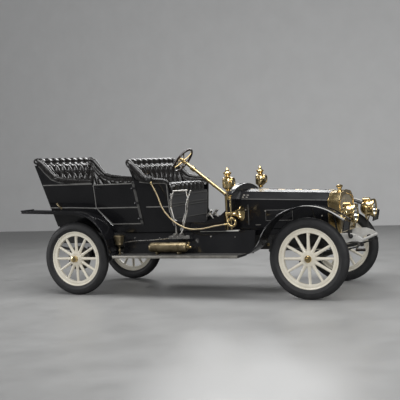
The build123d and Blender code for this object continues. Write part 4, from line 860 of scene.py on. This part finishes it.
finishPiece(bm, "boardEdges", "chassis", "edgeMetal")
bm = bmesh.new()
for side in (-1, 1):
    # bright strip along the top of the apron, below the dash: a painted highlight on the ledge's top
    block(bm, (at(-1.158), side * 0.484, 0.7665), (0.496, 0.044, 0.004), bevel=0.0015)
    block(bm, (at(-1.158), side * 0.5065, 0.7610), (0.496, 0.005, 0.012), bevel=0.0015)
    # light lines along the front of the fender: painted highlights on its curve
    for y in (0.836, 0.800):
        line = arcPoints(0.020, 0.457, 0.5925, 96, 62, 8) + [(0.444, 0.893)]
        wire(bm, [(at(x), side * y, z) for x, z in line], 0.0035, sides=2)
finishPiece(bm, "apronAndFenderHighlights", "chassis", "paleFinishAndHighlight")
print("fenders and boards made")

# Dash: brass strips on its sides and a bead over its arch
dash = {"rear": -1.062, "front": -0.985, "half": 0.500, "low": 0.770, "sideTop": 1.182, "archZ": 0.2003,
        "archRadius": 1.1017}
bm = bmesh.new()
arch = [(y, z) for y, z in arcPoints(0, dash["archZ"], dash["archRadius"], 63, 117, 20)]
for x in (dash["rear"], dash["front"]):
    line = [(dash["half"], dash["low"])] + arch + [(-dash["half"], dash["low"])]
    wire(bm, [(at(x), y, z) for y, z in line], 0.006, sides=2)
finishPiece(bm, "dashBeads", "chassis", "coachBlack")
bm = bmesh.new()
for side in (-1, 1):
    for x in (-1.0515, -0.9955):
        block(bm, (at(x), side * 0.502, 0.976), (0.020, 0.005, 0.408), bevel=0.0015)
finishPiece(bm, "dashEdges", "chassis", "brass")

# Bonnet: shoulder beads and painted highlight lines, side panels, pins, knobs and handles; each half swings
# with its own pieces
bonnet = {
    "rear": -0.915, "front": 0.117,
    "lines": [((0.352, 1.130), (0.312, 1.074)), ((0.225, 1.212), (0.190, 1.154))],
    "panel": [(-0.621, 0.862), (-0.621, 0.985), (-0.295, 0.985), (-0.295, 0.862)],
    "pins": (-0.905, -0.858),
    "knobs": ((-0.866, 0.996), (-0.622, 0.976), (0.060, 0.905)),
    "handles": (-0.72, -0.06),
}


def bonnetShare(x):
    return (x + 0.985) / 1.250


def bonnetSpot(x, line, side):
    (yRear, zRear), (yFront, zFront) = bonnet["lines"][line]
    share = bonnetShare(x)
    return Vector((at(x), side * (yRear + share * (yFront - yRear)), zRear + share * (zFront - zRear)))


def bonnetSide(x, z, side, out=0.0):
    return Vector((at(x), side * (0.352 - 0.040 * bonnetShare(x) + out), z))


for sideName, side in (("right", -1), ("left", 1)):
    bm = bmesh.new()
    wire(bm, [bonnetSpot(bonnet["rear"], 1, side), bonnetSpot(bonnet["front"], 1, side)], 0.0035, sides=2)
    corners = [bonnetSide(x, z, side) for x, z in bonnet["panel"]]
    plate(bm, corners, Vector((0, side * 0.0035, 0)), 0.0015)
    wire(bm, [bonnetSide(bonnet["rear"], 0.776, side), bonnetSide(bonnet["front"], 0.776, side)],
         0.004, sides=2)
    finishPiece(bm, f"bonnetBeads.{sideName}", "hood_" + sideName, "coachBlack")
    # light lines painted on as highlights along the lower shoulder and round the raised side panel, and a
    # light line down the seam
    bm = bmesh.new()
    wire(bm, [bonnetSpot(bonnet["rear"], 0, side), bonnetSpot(bonnet["front"], 0, side)], 0.0040, sides=2)
    wire(bm, [spot + Vector((0, side * 0.003, 0)) for spot in corners], 0.0030, sides=2, closed=True)
    wire(bm, [bonnetSide(-0.838, 1.060, side), bonnetSide(-0.838, 0.815, side)], 0.0030, sides=2)
    finishPiece(bm, f"bonnetHighlightLines.{sideName}", "hood_" + sideName, "greyLineAndHighlight")
    bm = bmesh.new()
    for x in bonnet["pins"]:
        for share in (0.20, 0.48):
            spot = bonnetSpot(x, 0, side).lerp(bonnetSpot(x, 1, side), share)
            bar(bm, spot + Vector((-0.012, 0, 0.003)), spot + Vector((0.012, 0, 0.003)), 0.006)
    for x, z in bonnet["knobs"]:
        bar(bm, bonnetSide(x, z, side, -0.002), bonnetSide(x, z, side, 0.010), 0.005)
        ball(bm, bonnetSide(x, z, side, 0.013), 0.008, 10)
    for x in bonnet["handles"]:
        wire(bm, [bonnetSide(x - 0.03, 0.815, side, 0.002), bonnetSide(x - 0.02, 0.815, side, 0.016),
                  bonnetSide(x + 0.02, 0.815, side, 0.016), bonnetSide(x + 0.03, 0.815, side, 0.002)],
                  0.004, sides=2)
    finishPiece(bm, f"bonnetFittings.{sideName}", "hood_" + sideName, "edgeMetal")
print("bonnet trim made")

# Radiator: fins across the core's face, trims round the shell, filler cap
radiator = {
    "faceX": 0.2515, "sill": 0.744, "half": 0.280, "finPitch": 0.009, "barPitch": 0.014,
    "top": [(-0.282, 1.050), (-0.178, 1.118), (0.0, 1.140), (0.178, 1.118), (0.282, 1.050)],
    "shell": [(0.318, 0.706), (0.318, 1.080), (0.196, 1.160), (0.0, 1.182), (-0.196, 1.160),
              (-0.318, 1.080), (-0.318, 0.706)],
    "window": [(0.282, 0.742), (0.282, 1.052), (0.178, 1.120), (0.0, 1.142), (-0.178, 1.120),
               (-0.282, 1.052), (-0.282, 0.742)],
}
bm = bmesh.new()
count = int(2 * radiator["half"] / radiator["finPitch"])
for i in range(count + 1):
    y = -radiator["half"] + 2 * radiator["half"] * i / count
    top = lineAt(radiator["top"], y)
    block(bm, (at(radiator["faceX"] + 0.003), y, (top + radiator["sill"]) / 2),
          (0.008, 0.0016, top - radiator["sill"]))
z = radiator["sill"]
while z < 1.135:
    half = radiator["half"]  # the core narrows above its straight sides
    if z >= 1.116:
        half = 0.178 - (z - 1.116) * 6.5
    elif z >= 1.050:
        half -= (z - 1.050) * 1.55
    block(bm, (at(radiator["faceX"] + 0.002), 0, z), (0.006, 2 * max(half, 0.02), 0.0018))
    z += radiator["barPitch"]
finishPiece(bm, "radiatorFins", "chassis", "coreMetal")
bm = bmesh.new()
for points, x, size in ((radiator["shell"], 0.263, 0.006), (radiator["shell"], 0.133, 0.005),
                        (radiator["window"], 0.263, 0.0045)):
    wire(bm, [(at(x), y, z) for y, z in points], size, closed=points is radiator["window"])
cap = [(0.0, 0.026), (0.004, 0.030), (0.010, 0.030), (0.012, 0.036), (0.032, 0.036), (0.035, 0.032),
       (0.037, 0.020), (0.042, 0.012), (0.046, 0.0)]
turned(bm, cap, (at(0.188), 0, 1.204), (0, 0, 1), 24)
for i in range(12):
    angle = math.pi / 6 * i
    x, y = at(0.188) + 0.036 * math.cos(angle), 0.036 * math.sin(angle)
    bar(bm, (x, y, 1.218), (x, y, 1.234), 0.004, sides=6)
turned(bm, [(0, 0.034), (0.003, 0.034), (0.006, 0.028), (0.012, 0.026)], (at(0.188), 0, 1.166),
       (0, 0, 1), 24)
finishPiece(bm, "radiatorTrims", "chassis", "brass")

# Headlamps
headlamp = {
    "x": 0.484, "y": 0.460, "z": 0.932, "forkX": 0.395, "baseZ": 0.670,
    "case": [(-0.168, 0.0), (-0.168, 0.028), (-0.163, 0.042), (-0.150, 0.060), (-0.134, 0.076),
             (-0.112, 0.088), (-0.090, 0.0945), (-0.084, 0.0985), (-0.078, 0.0955), (-0.048, 0.0975),
             (-0.036, 0.098), (-0.034, 0.107), (-0.030, 0.112), (-0.020, 0.1115), (-0.018, 0.108),
             (-0.012, 0.108), (-0.010, 0.1125), (-0.002, 0.1125), (0.006, 0.110), (0.008, 0.106),
             (0.004, 0.101), (-0.006, 0.099)],
    "mirror": [(-0.006, 0.099), (-0.030, 0.094), (-0.060, 0.083), (-0.090, 0.063), (-0.110, 0.036),
               (-0.118, 0.0)],
    "lens": [(-0.008, 0.0985), (-0.004, 0.098), (0.002, 0.080), (0.007, 0.050), (0.009, 0.0), (0.005, 0.0),
             (0.003, 0.050), (-0.003, 0.082), (-0.008, 0.0985)],
}
for side, tag in ((-1, "right"), (1, "left")):
    centre = Vector((at(headlamp["x"]), side * headlamp["y"], headlamp["z"]))
    ahead = Vector((1, 0, 0))
    bm = bmesh.new()
    turned(bm, headlamp["case"], centre, ahead, 48)
    # vent on top: a ribbed drum along the lamp, on a short saddle
    ventX = [centre.x - 0.140, centre.x - 0.048]
    ventZ = centre.z + 0.098
    turned(bm, [(0, 0), (0.0, 0.022), (0.006, 0.028), (0.086, 0.028), (0.092, 0.022), (0.092, 0)],
           (ventX[0], centre.y, ventZ), ahead, 24)
    for i in range(7):
        hoop(bm, (ventX[0] + 0.010 + 0.012 * i, centre.y, ventZ), ahead, 0.0285, 0.0032, 20, 6)
    block(bm, (centre.x - 0.094, centre.y, centre.z + 0.090), (0.080, 0.040, 0.020), bevel=0.004)
    # fork from the frame's side, with the nuts that hold the lamp
    forkX = at(headlamp["forkX"])
    base = headlamp["baseZ"]
    for way in (-1, 1):
        wire(bm, [(forkX, centre.y, base + 0.118), (forkX, centre.y + way * 0.070, base + 0.140),
                  (forkX, centre.y + way * 0.110, base + 0.185), (forkX, centre.y + way * 0.112, centre.z)],
                  0.008, smooth=True, sides=4)
        bar(bm, (forkX, centre.y + way * 0.090, centre.z), (forkX, centre.y + way * 0.122, centre.z), 0.010)
        bar(bm, (forkX, centre.y + way * 0.116, centre.z), (forkX, centre.y + way * 0.126, centre.z),
            0.013, sides=6)
    # hinge and catch of the front ring, and the gas inlet below
    block(bm, centre + Vector((-0.016, side * 0.116, 0)), (0.022, 0.012, 0.034), bevel=0.003)
    ball(bm, centre + Vector((-0.014, -side * 0.117, 0)), 0.009, 10)
    bar(bm, centre + Vector((-0.095, 0, -0.118)), centre + Vector((-0.095, 0, -0.088)), 0.007)
    piece = finishPiece(bm, f"headlampCase.{tag}", "chassis", "brass", 40)
    if side < 0:
        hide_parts("headlamps")
    bm = bmesh.new()
    wire(bm, [(forkX, side * 0.374, base), (forkX, side * 0.430, base), (forkX, side * 0.460, base + 0.030),
              (forkX, side * 0.460, base + 0.120)], 0.013, smooth=True, sides=4)
    turned(bm, [(0, 0.026), (0.006, 0.026), (0.012, 0.018), (0.012, 0)], (forkX, side * 0.3755, base),
           (0, side, 0), 20)
    finishPiece(bm, f"headlampFoot.{tag}", "chassis", "chassisBlack")
    bm = bmesh.new()
    turned(bm, headlamp["mirror"], centre, ahead, 40)
    finishPiece(bm, f"headlampMirror.{tag}", "chassis", "lampMirror", 60)
    bm = bmesh.new()
    bar(bm, centre + Vector((-0.062, 0, -0.078)), centre + Vector((-0.062, 0, -0.018)), 0.006)
    tip = [(-0.016, 0.004), (-0.016, -0.010), (0, -0.020), (0.016, -0.010), (0.016, 0.004)]
    wire(bm, [centre + Vector((-0.062, y, z)) for y, z in tip], 0.0035, sides=2)
    finishPiece(bm, f"headlampBurner.{tag}", "chassis", "brass")
    bm = bmesh.new()
    turned(bm, headlamp["lens"], centre, ahead, 40)
    finishPiece(bm, f"headlampLens.{tag}", "chassis", "lensGlass", 60)
print("headlamps made")

# Side lamps beside the dash
armFlange = [(0, 0.024), (0.005, 0.024), (0.010, 0.014), (0.010, 0)]  # foot of an arm on the dash
sideLamp = {
    "x": -1.000, "y": 0.545, "low": 1.228, "lensRise": 0.110,
    "body": [(0.0, 0.0), (0.0, 0.022), (0.004, 0.030), (0.012, 0.032), (0.016, 0.026), (0.022, 0.030),
             (0.030, 0.042), (0.040, 0.050), (0.046, 0.060), (0.052, 0.064), (0.152, 0.064), (0.160, 0.060),
             (0.165, 0.048), (0.172, 0.040), (0.180, 0.028), (0.186, 0.027), (0.190, 0.038), (0.196, 0.043),
             (0.200, 0.036), (0.206, 0.044), (0.212, 0.047), (0.222, 0.044), (0.230, 0.036), (0.240, 0.024),
             (0.246, 0.016), (0.250, 0.022), (0.258, 0.023), (0.264, 0.018), (0.272, 0.014), (0.280, 0.009),
             (0.284, 0.0)],
    "frontRing": [(0.040, 0.0), (0.040, 0.051), (0.064, 0.051), (0.068, 0.054), (0.076, 0.054),
                  (0.078, 0.050), (0.074, 0.046), (0.070, 0.044), (0.060, 0.030), (0.056, 0.0)],
    "sideRing": [(0.042, 0.0), (0.042, 0.036), (0.058, 0.036), (0.062, 0.039), (0.067, 0.038),
                 (0.067, 0.033), (0.062, 0.030), (0.058, 0.018), (0.056, 0.0)],
    "glass": [(-0.004, 0.0), (-0.004, 1.0), (0.001, 0.96), (0.006, 0.5), (0.008, 0.0)],
}
for side, tag in ((-1, "right"), (1, "left")):
    foot = Vector((at(sideLamp["x"]), side * sideLamp["y"], sideLamp["low"]))
    lens = foot + Vector((0, 0, sideLamp["lensRise"]))
    out = Vector((0, side, 0))
    bm = bmesh.new()
    turned(bm, sideLamp["body"], foot, (0, 0, 1), 36)
    turned(bm, sideLamp["frontRing"], lens, (1, 0, 0), 36)
    turned(bm, sideLamp["sideRing"], lens, out, 30)
    for i in range(10):
        angle = math.pi / 5 * i
        spot = foot + Vector((0.046 * math.cos(angle), 0.046 * math.sin(angle), 0.216))
        bar(bm, spot, spot + Vector((0, 0, 0.010)), 0.004, sides=6)
    armX, armZ = at(-1.012), 1.150
    wire(bm, [(armX, side * 0.499, armZ), (armX, side * 0.530, armZ), (armX, side * 0.545, armZ + 0.020),
              (armX, side * 0.545, foot.z + 0.006)], 0.010, smooth=True, sides=4)
    turned(bm, armFlange, (armX, side * 0.5005, armZ), out, 20)
    hoop(bm, (armX, side * 0.545, foot.z - 0.030), (0, 0, 1), 0.011, 0.004, 20, 8)
    piece = finishPiece(bm, f"sideLampCase.{tag}", "chassis", "brass", 40)
    if side < 0:
        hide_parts("side_lamps")
    bm = bmesh.new()
    turned(bm, [(0.070 + a, 0.044 * r) for a, r in sideLamp["glass"]], lens, (1, 0, 0), 30)
    turned(bm, [(0.061 + 0.7 * a, 0.031 * r) for a, r in sideLamp["glass"]], lens, out, 24)
    finishPiece(bm, f"sideLampGlass.{tag}", "chassis", "lensGlass", 60)
print("side lamps made")

# Horn: open bell, coil and inlet, with its bulb
horn = {
    "ring": (-0.933, -0.638, 0.871), "ringRadius": 0.046, "tube": 0.015, "bellRise": 0.103,
    "bell": [(-0.070, 0.0), (-0.070, 0.014), (-0.050, 0.016), (0.0, 0.021), (0.035, 0.029), (0.062, 0.039),
             (0.085, 0.052), (0.104, 0.067), (0.116, 0.080), (0.122, 0.087), (0.127, 0.090), (0.130, 0.088),
             (0.124, 0.083), (0.104, 0.062), (0.080, 0.044), (0.040, 0.027), (0.0, 0.017), (-0.030, 0.0)],
    "bulb": [(0.0, 0.0), (0.001, 0.012), (0.008, 0.026), (0.020, 0.037), (0.034, 0.043), (0.045, 0.044),
             (0.057, 0.040), (0.068, 0.032), (0.078, 0.022), (0.088, 0.015), (0.102, 0.013), (0.106, 0.012),
             (0.106, 0.0)],
}
ring = Vector((at(horn["ring"][0]), *horn["ring"][1:]))
bell = ring + Vector((0, 0, horn["bellRise"]))
bm = bmesh.new()
turned(bm, horn["bell"], bell, (1, 0, 0), 48)
hoop(bm, ring, (0, 1, 0), horn["ringRadius"], horn["tube"], 40, 16)
wire(bm, [ring + Vector((-0.055, 0, 0)), ring + Vector((-0.058, 0, 0.060)), ring + Vector((-0.062,
                                                                                           0, 0.100)),
          ring + Vector((-0.030, 0, 0.103))], 0.014, smooth=True, sides=5)
beforeInlet, inlet = [Vector((at(x), y, z)) for x, y, z in hornTube["route"][-2:]]
inletRun = (inlet - beforeInlet).normalized()
bar(bm, inlet - inletRun * 0.010, inlet + inletRun * 0.040, 0.0115)
hoop(bm, inlet, inletRun, 0.012, 0.0035, 24, 8)
for z in (-0.020, 0.020):
    hoop(bm, ring + Vector((-0.055, 0, 0.050 + z)), (0, 0, 1), 0.014, 0.003, 24, 8)
bar(bm, (ring.x - 0.066, -0.499, ring.z + 0.034), (ring.x - 0.066, -0.638, ring.z + 0.034), 0.009)
turned(bm, armFlange, (ring.x - 0.066, -0.5005, ring.z + 0.034), (0, -1, 0), 20)
piece = finishPiece(bm, "hornBrass", "chassis", "brass", 45)
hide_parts("horn")
neckRun = Vector(hornTube["neckWay"]).normalized()
bm = bmesh.new()
turned(bm, horn["bulb"], bulbNeck - neckRun * 0.106, neckRun, 32)
piece = finishPiece(bm, "hornBulb", "chassis", "blackRubber", 60)
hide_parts("horn_bulb")
bm = bmesh.new()
turned(bm, [(-0.022, 0.0), (-0.022, 0.0165), (-0.004, 0.0150), (0.002, 0.0120), (0.010, 0.0105),
            (0.010, 0.0)],
       bulbNeck, neckRun, 24)
finishPiece(bm, "bulbCollar", "chassis", "brass")
print("horn made")

# Gas cylinder and the funnel-shaped generator on the right running board
gasCylinder = {
    "rear": -2.010, "y": -0.690, "z": 0.591,
    "body": [(0.0, 0.0), (0.0, 0.030), (0.005, 0.044), (0.014, 0.053), (0.028, 0.059), (0.040, 0.060),
             (0.470, 0.060), (0.484, 0.058), (0.496, 0.052), (0.505, 0.042), (0.510, 0.028), (0.512, 0.0)],
    "nose": [(0.508, 0.0), (0.508, 0.020), (0.522, 0.018), (0.526, 0.023), (0.538, 0.023), (0.542, 0.014),
             (0.560, 0.012), (0.562, 0.0)],
    "bands": (0.110, 0.400),
}
start = Vector((at(gasCylinder["rear"]), gasCylinder["y"], gasCylinder["z"]))
bm = bmesh.new()
turned(bm, gasCylinder["body"], start, (1, 0, 0), 40)
for along in gasCylinder["bands"]:
    turned(bm, [(along - 0.013, 0.0595), (along - 0.012, 0.0630), (along + 0.012, 0.0630),
                (along + 0.013, 0.0595)],
           start, (1, 0, 0), 40)
    block(bm, start + Vector((along, 0, -0.068)), (0.024, 0.070, 0.036), bevel=0.003)
    bar(bm, start + Vector((along, -0.058, -0.022)), start + Vector((along, -0.072, -0.022)),
        0.006, sides=6)
piece = finishPiece(bm, "gasCylinderBody", "chassis", "agedBrass", 40)
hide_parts("gas_cylinder")
bm = bmesh.new()
valve = start + Vector((0.532, 0, 0))
bar(bm, valve, valve + Vector((0, 0, 0.052)), 0.008)
hoop(bm, valve + Vector((0, 0, 0.054)), (0, 0, 1), 0.017, 0.004, 20, 8)
bar(bm, valve + Vector((-0.018, 0, 0.054)), valve + Vector((0.018, 0, 0.054)), 0.003, sides=8)
turned(bm, [(0, 0.0), (0, 0.020), (0.003, 0.023), (0.014, 0.023), (0.017, 0.020), (0.017, 0.0)],
       valve + Vector((-0.004, -0.020, 0.010)), (0, -1, 0), 24)
turned(bm, gasCylinder["nose"], start, (1, 0, 0), 28)
finishPiece(bm, "gasValve", "chassis", "brass", 40)
generator = [(0.0, 0.0), (0.0, 0.022), (0.004, 0.024), (0.008, 0.018), (0.014, 0.010), (0.036, 0.009),
             (0.042, 0.016), (0.050, 0.019), (0.057, 0.014), (0.064, 0.009), (0.090, 0.011), (0.100, 0.018),
             (0.112, 0.034), (0.122, 0.046), (0.128, 0.049), (0.134, 0.047), (0.176, 0.057), (0.182, 0.060),
             (0.188, 0.059), (0.214, 0.065), (0.220, 0.067), (0.230, 0.067), (0.234, 0.060),
             (0.240, 0.040), (0.243, 0.0)]
bm = bmesh.new()
turned(bm, generator, (at(-2.432), -0.690, 0.505), (0, 0, 1), 32)
piece = finishPiece(bm, "gasGenerator", "chassis", "agedBrass", 40)
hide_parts("gas_generator")

# Steering: wooden rim on a brass spider, fixed quadrant with two small levers, collars on the column
steering = {"hub": (-1.705, -0.270, 1.624), "slope": 38.5, "rim": 0.165, "section": 0.0145}
slope = math.radians(steering["slope"])
columnUp = Vector((-math.cos(slope), 0, math.sin(slope)))
hub = Vector((at(steering["hub"][0]), *steering["hub"][1:]))
wheelSide = Vector((0, 1, 0))
wheelAhead = columnUp.cross(wheelSide)
bm = bmesh.new()
hoop(bm, hub, columnUp, steering["rim"], steering["section"], 64, 14)
piece = finishPiece(bm, "steeringRim", "steering_wheel", "rimWood", 60)
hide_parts("steering_wheel")
bm = bmesh.new()
turned(bm, [(-0.030, 0.0), (-0.030, 0.024), (-0.022, 0.030), (0.006, 0.030), (0.012, 0.024), (0.018, 0.020),
            (0.020, 0.0)], hub, columnUp, 28)
for turn in range(4):
    angle = math.radians(45 + 90 * turn)
    reach = wheelSide * math.cos(angle) + wheelAhead * math.sin(angle)
    wire(bm, [hub + reach * 0.020 - columnUp * 0.010, hub + reach * 0.070 - columnUp * 0.012,
              hub + reach * 0.130 - columnUp * 0.006, hub + reach * 0.160], 0.0075, smooth=True, sides=4)
    ball(bm, hub + reach * 0.160, 0.013, 12)
finishPiece(bm, "steeringSpider", "steering_wheel", "brass")
bm = bmesh.new()
turned(bm, [(0.021, 0.0), (0.021, 0.013), (0.034, 0.013), (0.038, 0.017), (0.044, 0.015), (0.047, 0.0)],
       hub, columnUp, 20)
quadrant = [hub + columnUp * 0.030 + wheelSide * 0.055 * math.cos(a) + wheelAhead * 0.055 * math.sin(a)
            for a in [math.radians(20 + 14 * i) for i in range(11)]]
wire(bm, quadrant, 0.005, flat=(quadrant[0], columnUp, 0.5))
for angle, reach in ((60, 0.092), (120, 0.085)):
    way = wheelSide * math.cos(math.radians(angle)) + wheelAhead * math.sin(math.radians(angle))
    wire(bm,
         [hub + columnUp * 0.034, hub + columnUp * 0.038 + way * 0.050,
          hub + columnUp * 0.042 + way * reach], 0.0045, smooth=True)
    ball(bm, hub + columnUp * 0.042 + way * reach, 0.009, 12)
for distance, radius in ((0.060, 0.021), (0.145, 0.026), (0.196, 0.026), (0.520, 0.021), (0.700, 0.021)):
    hoop(bm, hub - columnUp * distance, columnUp, radius, 0.004, 28, 8)
finishPiece(bm, "quadrant", "chassis", "brass")

# Hand levers: pivots, foot plate, latch rods and grips; brake rod to the rear drums
levers = {"inner": -0.630, "outer": -0.655}
bm = bmesh.new()
for x in (-1.592, -1.672):
    bar(bm, (at(x), -0.612, 0.738), (at(x), -0.676, 0.738), 0.019)
    bar(bm, (at(x), -0.672, 0.738), (at(x), -0.684, 0.738), 0.011, sides=6)
block(bm, (at(-1.624), -0.644, 0.7245), (0.150, 0.050, 0.006), bevel=0.002)
latch = [(-1.588, 0.790), (-1.550, 0.900), (-1.512, 1.010), (-1.490, 1.140)]
wire(bm, [(at(x), levers["outer"] - 0.011, z) for x, z in latch], 0.003, sides=2)
latch = [(-1.690, 0.850), (-1.715, 0.965), (-1.742, 1.070), (-1.726, 1.155), (-1.700, 1.235)]
wire(bm, [(at(x), levers["inner"] - 0.012, z) for x, z in latch], 0.003, sides=2)
bar(bm, (at(-1.660), levers["inner"], 1.259), (at(-1.500), levers["inner"], 1.262), 0.0135)
ball(bm, (at(-1.500), levers["inner"], 1.262), 0.0145, 12)
ball(bm, (at(-1.676), levers["inner"], 1.258), 0.0145, 12)
for x, z in ((-1.500, 1.263), (-1.436, 1.256)):
    ball(bm, (at(x), levers["outer"], z), 0.011, 12)
ball(bm, (at(-1.482), levers["outer"], 1.150), 0.016, 12, (1, 0.8, 1.2))
wire(bm, [(at(-1.690), -0.640, 0.700), (at(-2.001), -0.625, 0.673), (at(-2.239), -0.615, 0.665),
          (at(-2.930), -0.612, 0.585)], 0.006, sides=3)
bar(bm, (at(-2.930), -0.600, 0.585), (at(-2.930), -0.626, 0.585), 0.011)
wire(bm, [(at(-2.930), -0.606, 0.590), (at(-2.960), -0.606, 0.520), (at(-3.020), -0.600, 0.470)],
     0.010, sides=3)
for x in (-1.735, -1.515):
    for y in (-0.625, -0.663):
        bar(bm, (at(x), y, 0.720), (at(x), y, 0.728), 0.007, sides=6)
finishPiece(bm, "leverFittings", "chassis", "nickel")
print("controls made")

# Frame fittings: pale plates over the rail ends and a pale bar between them, spring clips, crank grip, apron
# bolts
hornOutline = [(0.225, 0.7015), (0.400, 0.7015), (0.472, 0.676), (0.5325, 0.631), (0.522, 0.606),
               (0.494, 0.6025), (0.439, 0.6245), (0.380, 0.606), (0.330, 0.5905), (0.225, 0.5925)]
bm = bmesh.new()
for side in (-1, 1):
    low = side * 0.3335
    plate(bm, [(at(x), low, z) for x, z in hornOutline], (0, side * 0.0430, 0), 0.003)
    bar(bm, (at(0.515), side * 0.322, 0.622), (at(0.515), side * 0.384, 0.622), 0.018)
bar(bm, (at(0.515), -0.330, 0.622), (at(0.515), 0.330, 0.622), 0.0155)
finishPiece(bm, "railEnds", "chassis", "paleFinishAndHighlight", 40)
bm = bmesh.new()
for side in (-1, 1):
    # each row: centre y, axle x, underside of the spring, its depth
    for y, middle, low, depth in ((0.355, 0.0, 0.4555, 0.042), (0.432, -wheelbase, 0.4933, 0.046)):
        for step in (-0.055, 0.055):
            x = at(middle + step)
            spots = [(x, side * y - 0.028, low - 0.070), (x, side * y - 0.028, low + depth + 0.008),
                     (x, side * y + 0.028, low + depth + 0.008), (x, side * y + 0.028, low - 0.070)]
            wire(bm, spots, 0.006, sides=2)
            for spot in (spots[0], spots[-1]):
                bar(bm, Vector(spot) + Vector((0, 0, 0.004)), Vector(spot) + Vector((0, 0, 0.016)),
                    0.010, sides=6)
        block(bm, (at(middle), side * y, low + depth + 0.006), (0.140, 0.050, 0.010), bevel=0.002)
finishPiece(bm, "springBolts", "chassis", "castIron")
bm = bmesh.new()
turned(bm, [(0.0, 0.015), (0.0, 0.018), (0.010, 0.019), (0.055, 0.017), (0.100, 0.019), (0.108, 0.017),
            (0.112, 0.0)], (at(0.393), -0.160, 0.492), (1, 0, 0), 20)
finishPiece(bm, "crankGrip", "chassis", "rimWood")
bm = bmesh.new()
ball(bm, (at(-1.261), -0.526, 0.698), 0.010, 10)
for x in (-2.30, -1.95, -1.60, -0.95):
    for side in (-1, 1):
        ball(bm, (at(x), side * 0.5275, 0.690), 0.006, 8)
finishPiece(bm, "apronBolts", "chassis", "nickel")
print("frame fittings made")

# Studio
studio = {"size": 40, "wallY": 9, "mirroredLess": 0.65, "world": 0.45, "worldMirroredLess": 0.27}
floorMat, floorShader = surface("studioFloor", (0.36, 0.36, 0.355), (0.32, 0.32, 0.315),
                                (0.30, 0.42), scale=2)
wallMat, wallShader = surface("studioWall", (0.62, 0.62, 0.615), (0.59, 0.59, 0.585), (0.8, 0.9), scale=2)
for mat, shader in ((floorMat, floorShader), (wallMat, wallShader)):
    # the polished pieces mirror a darker room
    add = mat.node_tree.nodes.new
    link = mat.node_tree.links.new
    path = add("ShaderNodeLightPath")
    share = add("ShaderNodeMath")
    share.operation = "MULTIPLY_ADD"
    share.inputs[1].default_value = -studio["mirroredLess"]
    share.inputs[2].default_value = 1.0
    link(path.outputs["Is Glossy Ray"], share.inputs[0])
    dim = add("ShaderNodeVectorMath")
    dim.operation = "SCALE"
    link(shader.inputs["Base Color"].links[0].from_socket, dim.inputs[0])
    link(share.outputs["Value"], dim.inputs["Scale"])
    link(dim.outputs["Vector"], shader.inputs["Base Color"])
for name, mat, matrix in (
        ("floor", floorMat, Matrix.Identity(4)),
        ("backdrop", wallMat, Matrix.Translation((0, studio["wallY"], 20)) @ Matrix.Rotation(math.pi / 2,
                                                                                             4, "X"))):
    bm = bmesh.new()
    bmesh.ops.create_grid(bm, x_segments=1, y_segments=1, size=studio["size"], matrix=matrix)
    mesh = bpy.data.meshes.new(name)
    bm.to_mesh(mesh)
    bm.free()
    mesh.materials.append(mat)
    obj = bpy.data.objects.new(name, mesh)
    scene.collection.objects.link(obj)

# name, place, aimed at, size x, size y, watts
lightTable = [
    ("top", (0.5, -1.0, 5.5), (0.0, 0.0, 0.5), 7.0, 3.0, 330),
    ("key", (5.5, -7.0, 4.0), (0.3, 0.0, 0.8), 3.0, 2.5, 240),
    ("fill", (-8.0, -5.0, 2.6), (-0.5, 0.0, 0.8), 3.0, 2.5, 170),
    ("rear", (-2.0, 6.0, 4.5), (0.0, 0.0, 0.8), 4.0, 2.0, 160),
]
for lampName, place, target, sizeX, sizeY, watts in lightTable:
    data = bpy.data.lights.new(lampName, "AREA")
    data.shape = "RECTANGLE"
    data.size = sizeX
    data.size_y = sizeY
    data.energy = watts
    obj = bpy.data.objects.new(lampName, data)
    scene.collection.objects.link(obj)
    obj.location = place
    obj.rotation_euler = (Vector(target) - Vector(place)).to_track_quat("-Z", "Y").to_euler()
world = bpy.data.worlds.new("world")
scene.world = world
world.use_nodes = True
worldTree = world.node_tree
backdropShader = worldTree.nodes["Background"]
backdropShader.inputs["Color"].default_value = (0.92, 0.93, 0.95, 1)
lightPath = worldTree.nodes.new("ShaderNodeLightPath")
dimmed = worldTree.nodes.new("ShaderNodeMath")
dimmed.operation = "MULTIPLY_ADD"
dimmed.inputs[1].default_value = -studio["worldMirroredLess"]  # polished surfaces see a dimmer room
dimmed.inputs[2].default_value = studio["world"]
worldTree.links.new(lightPath.outputs["Is Glossy Ray"], dimmed.inputs[0])
worldTree.links.new(dimmed.outputs["Value"], backdropShader.inputs["Strength"])
scene.view_settings.view_transform = "Standard"
print("studio made")
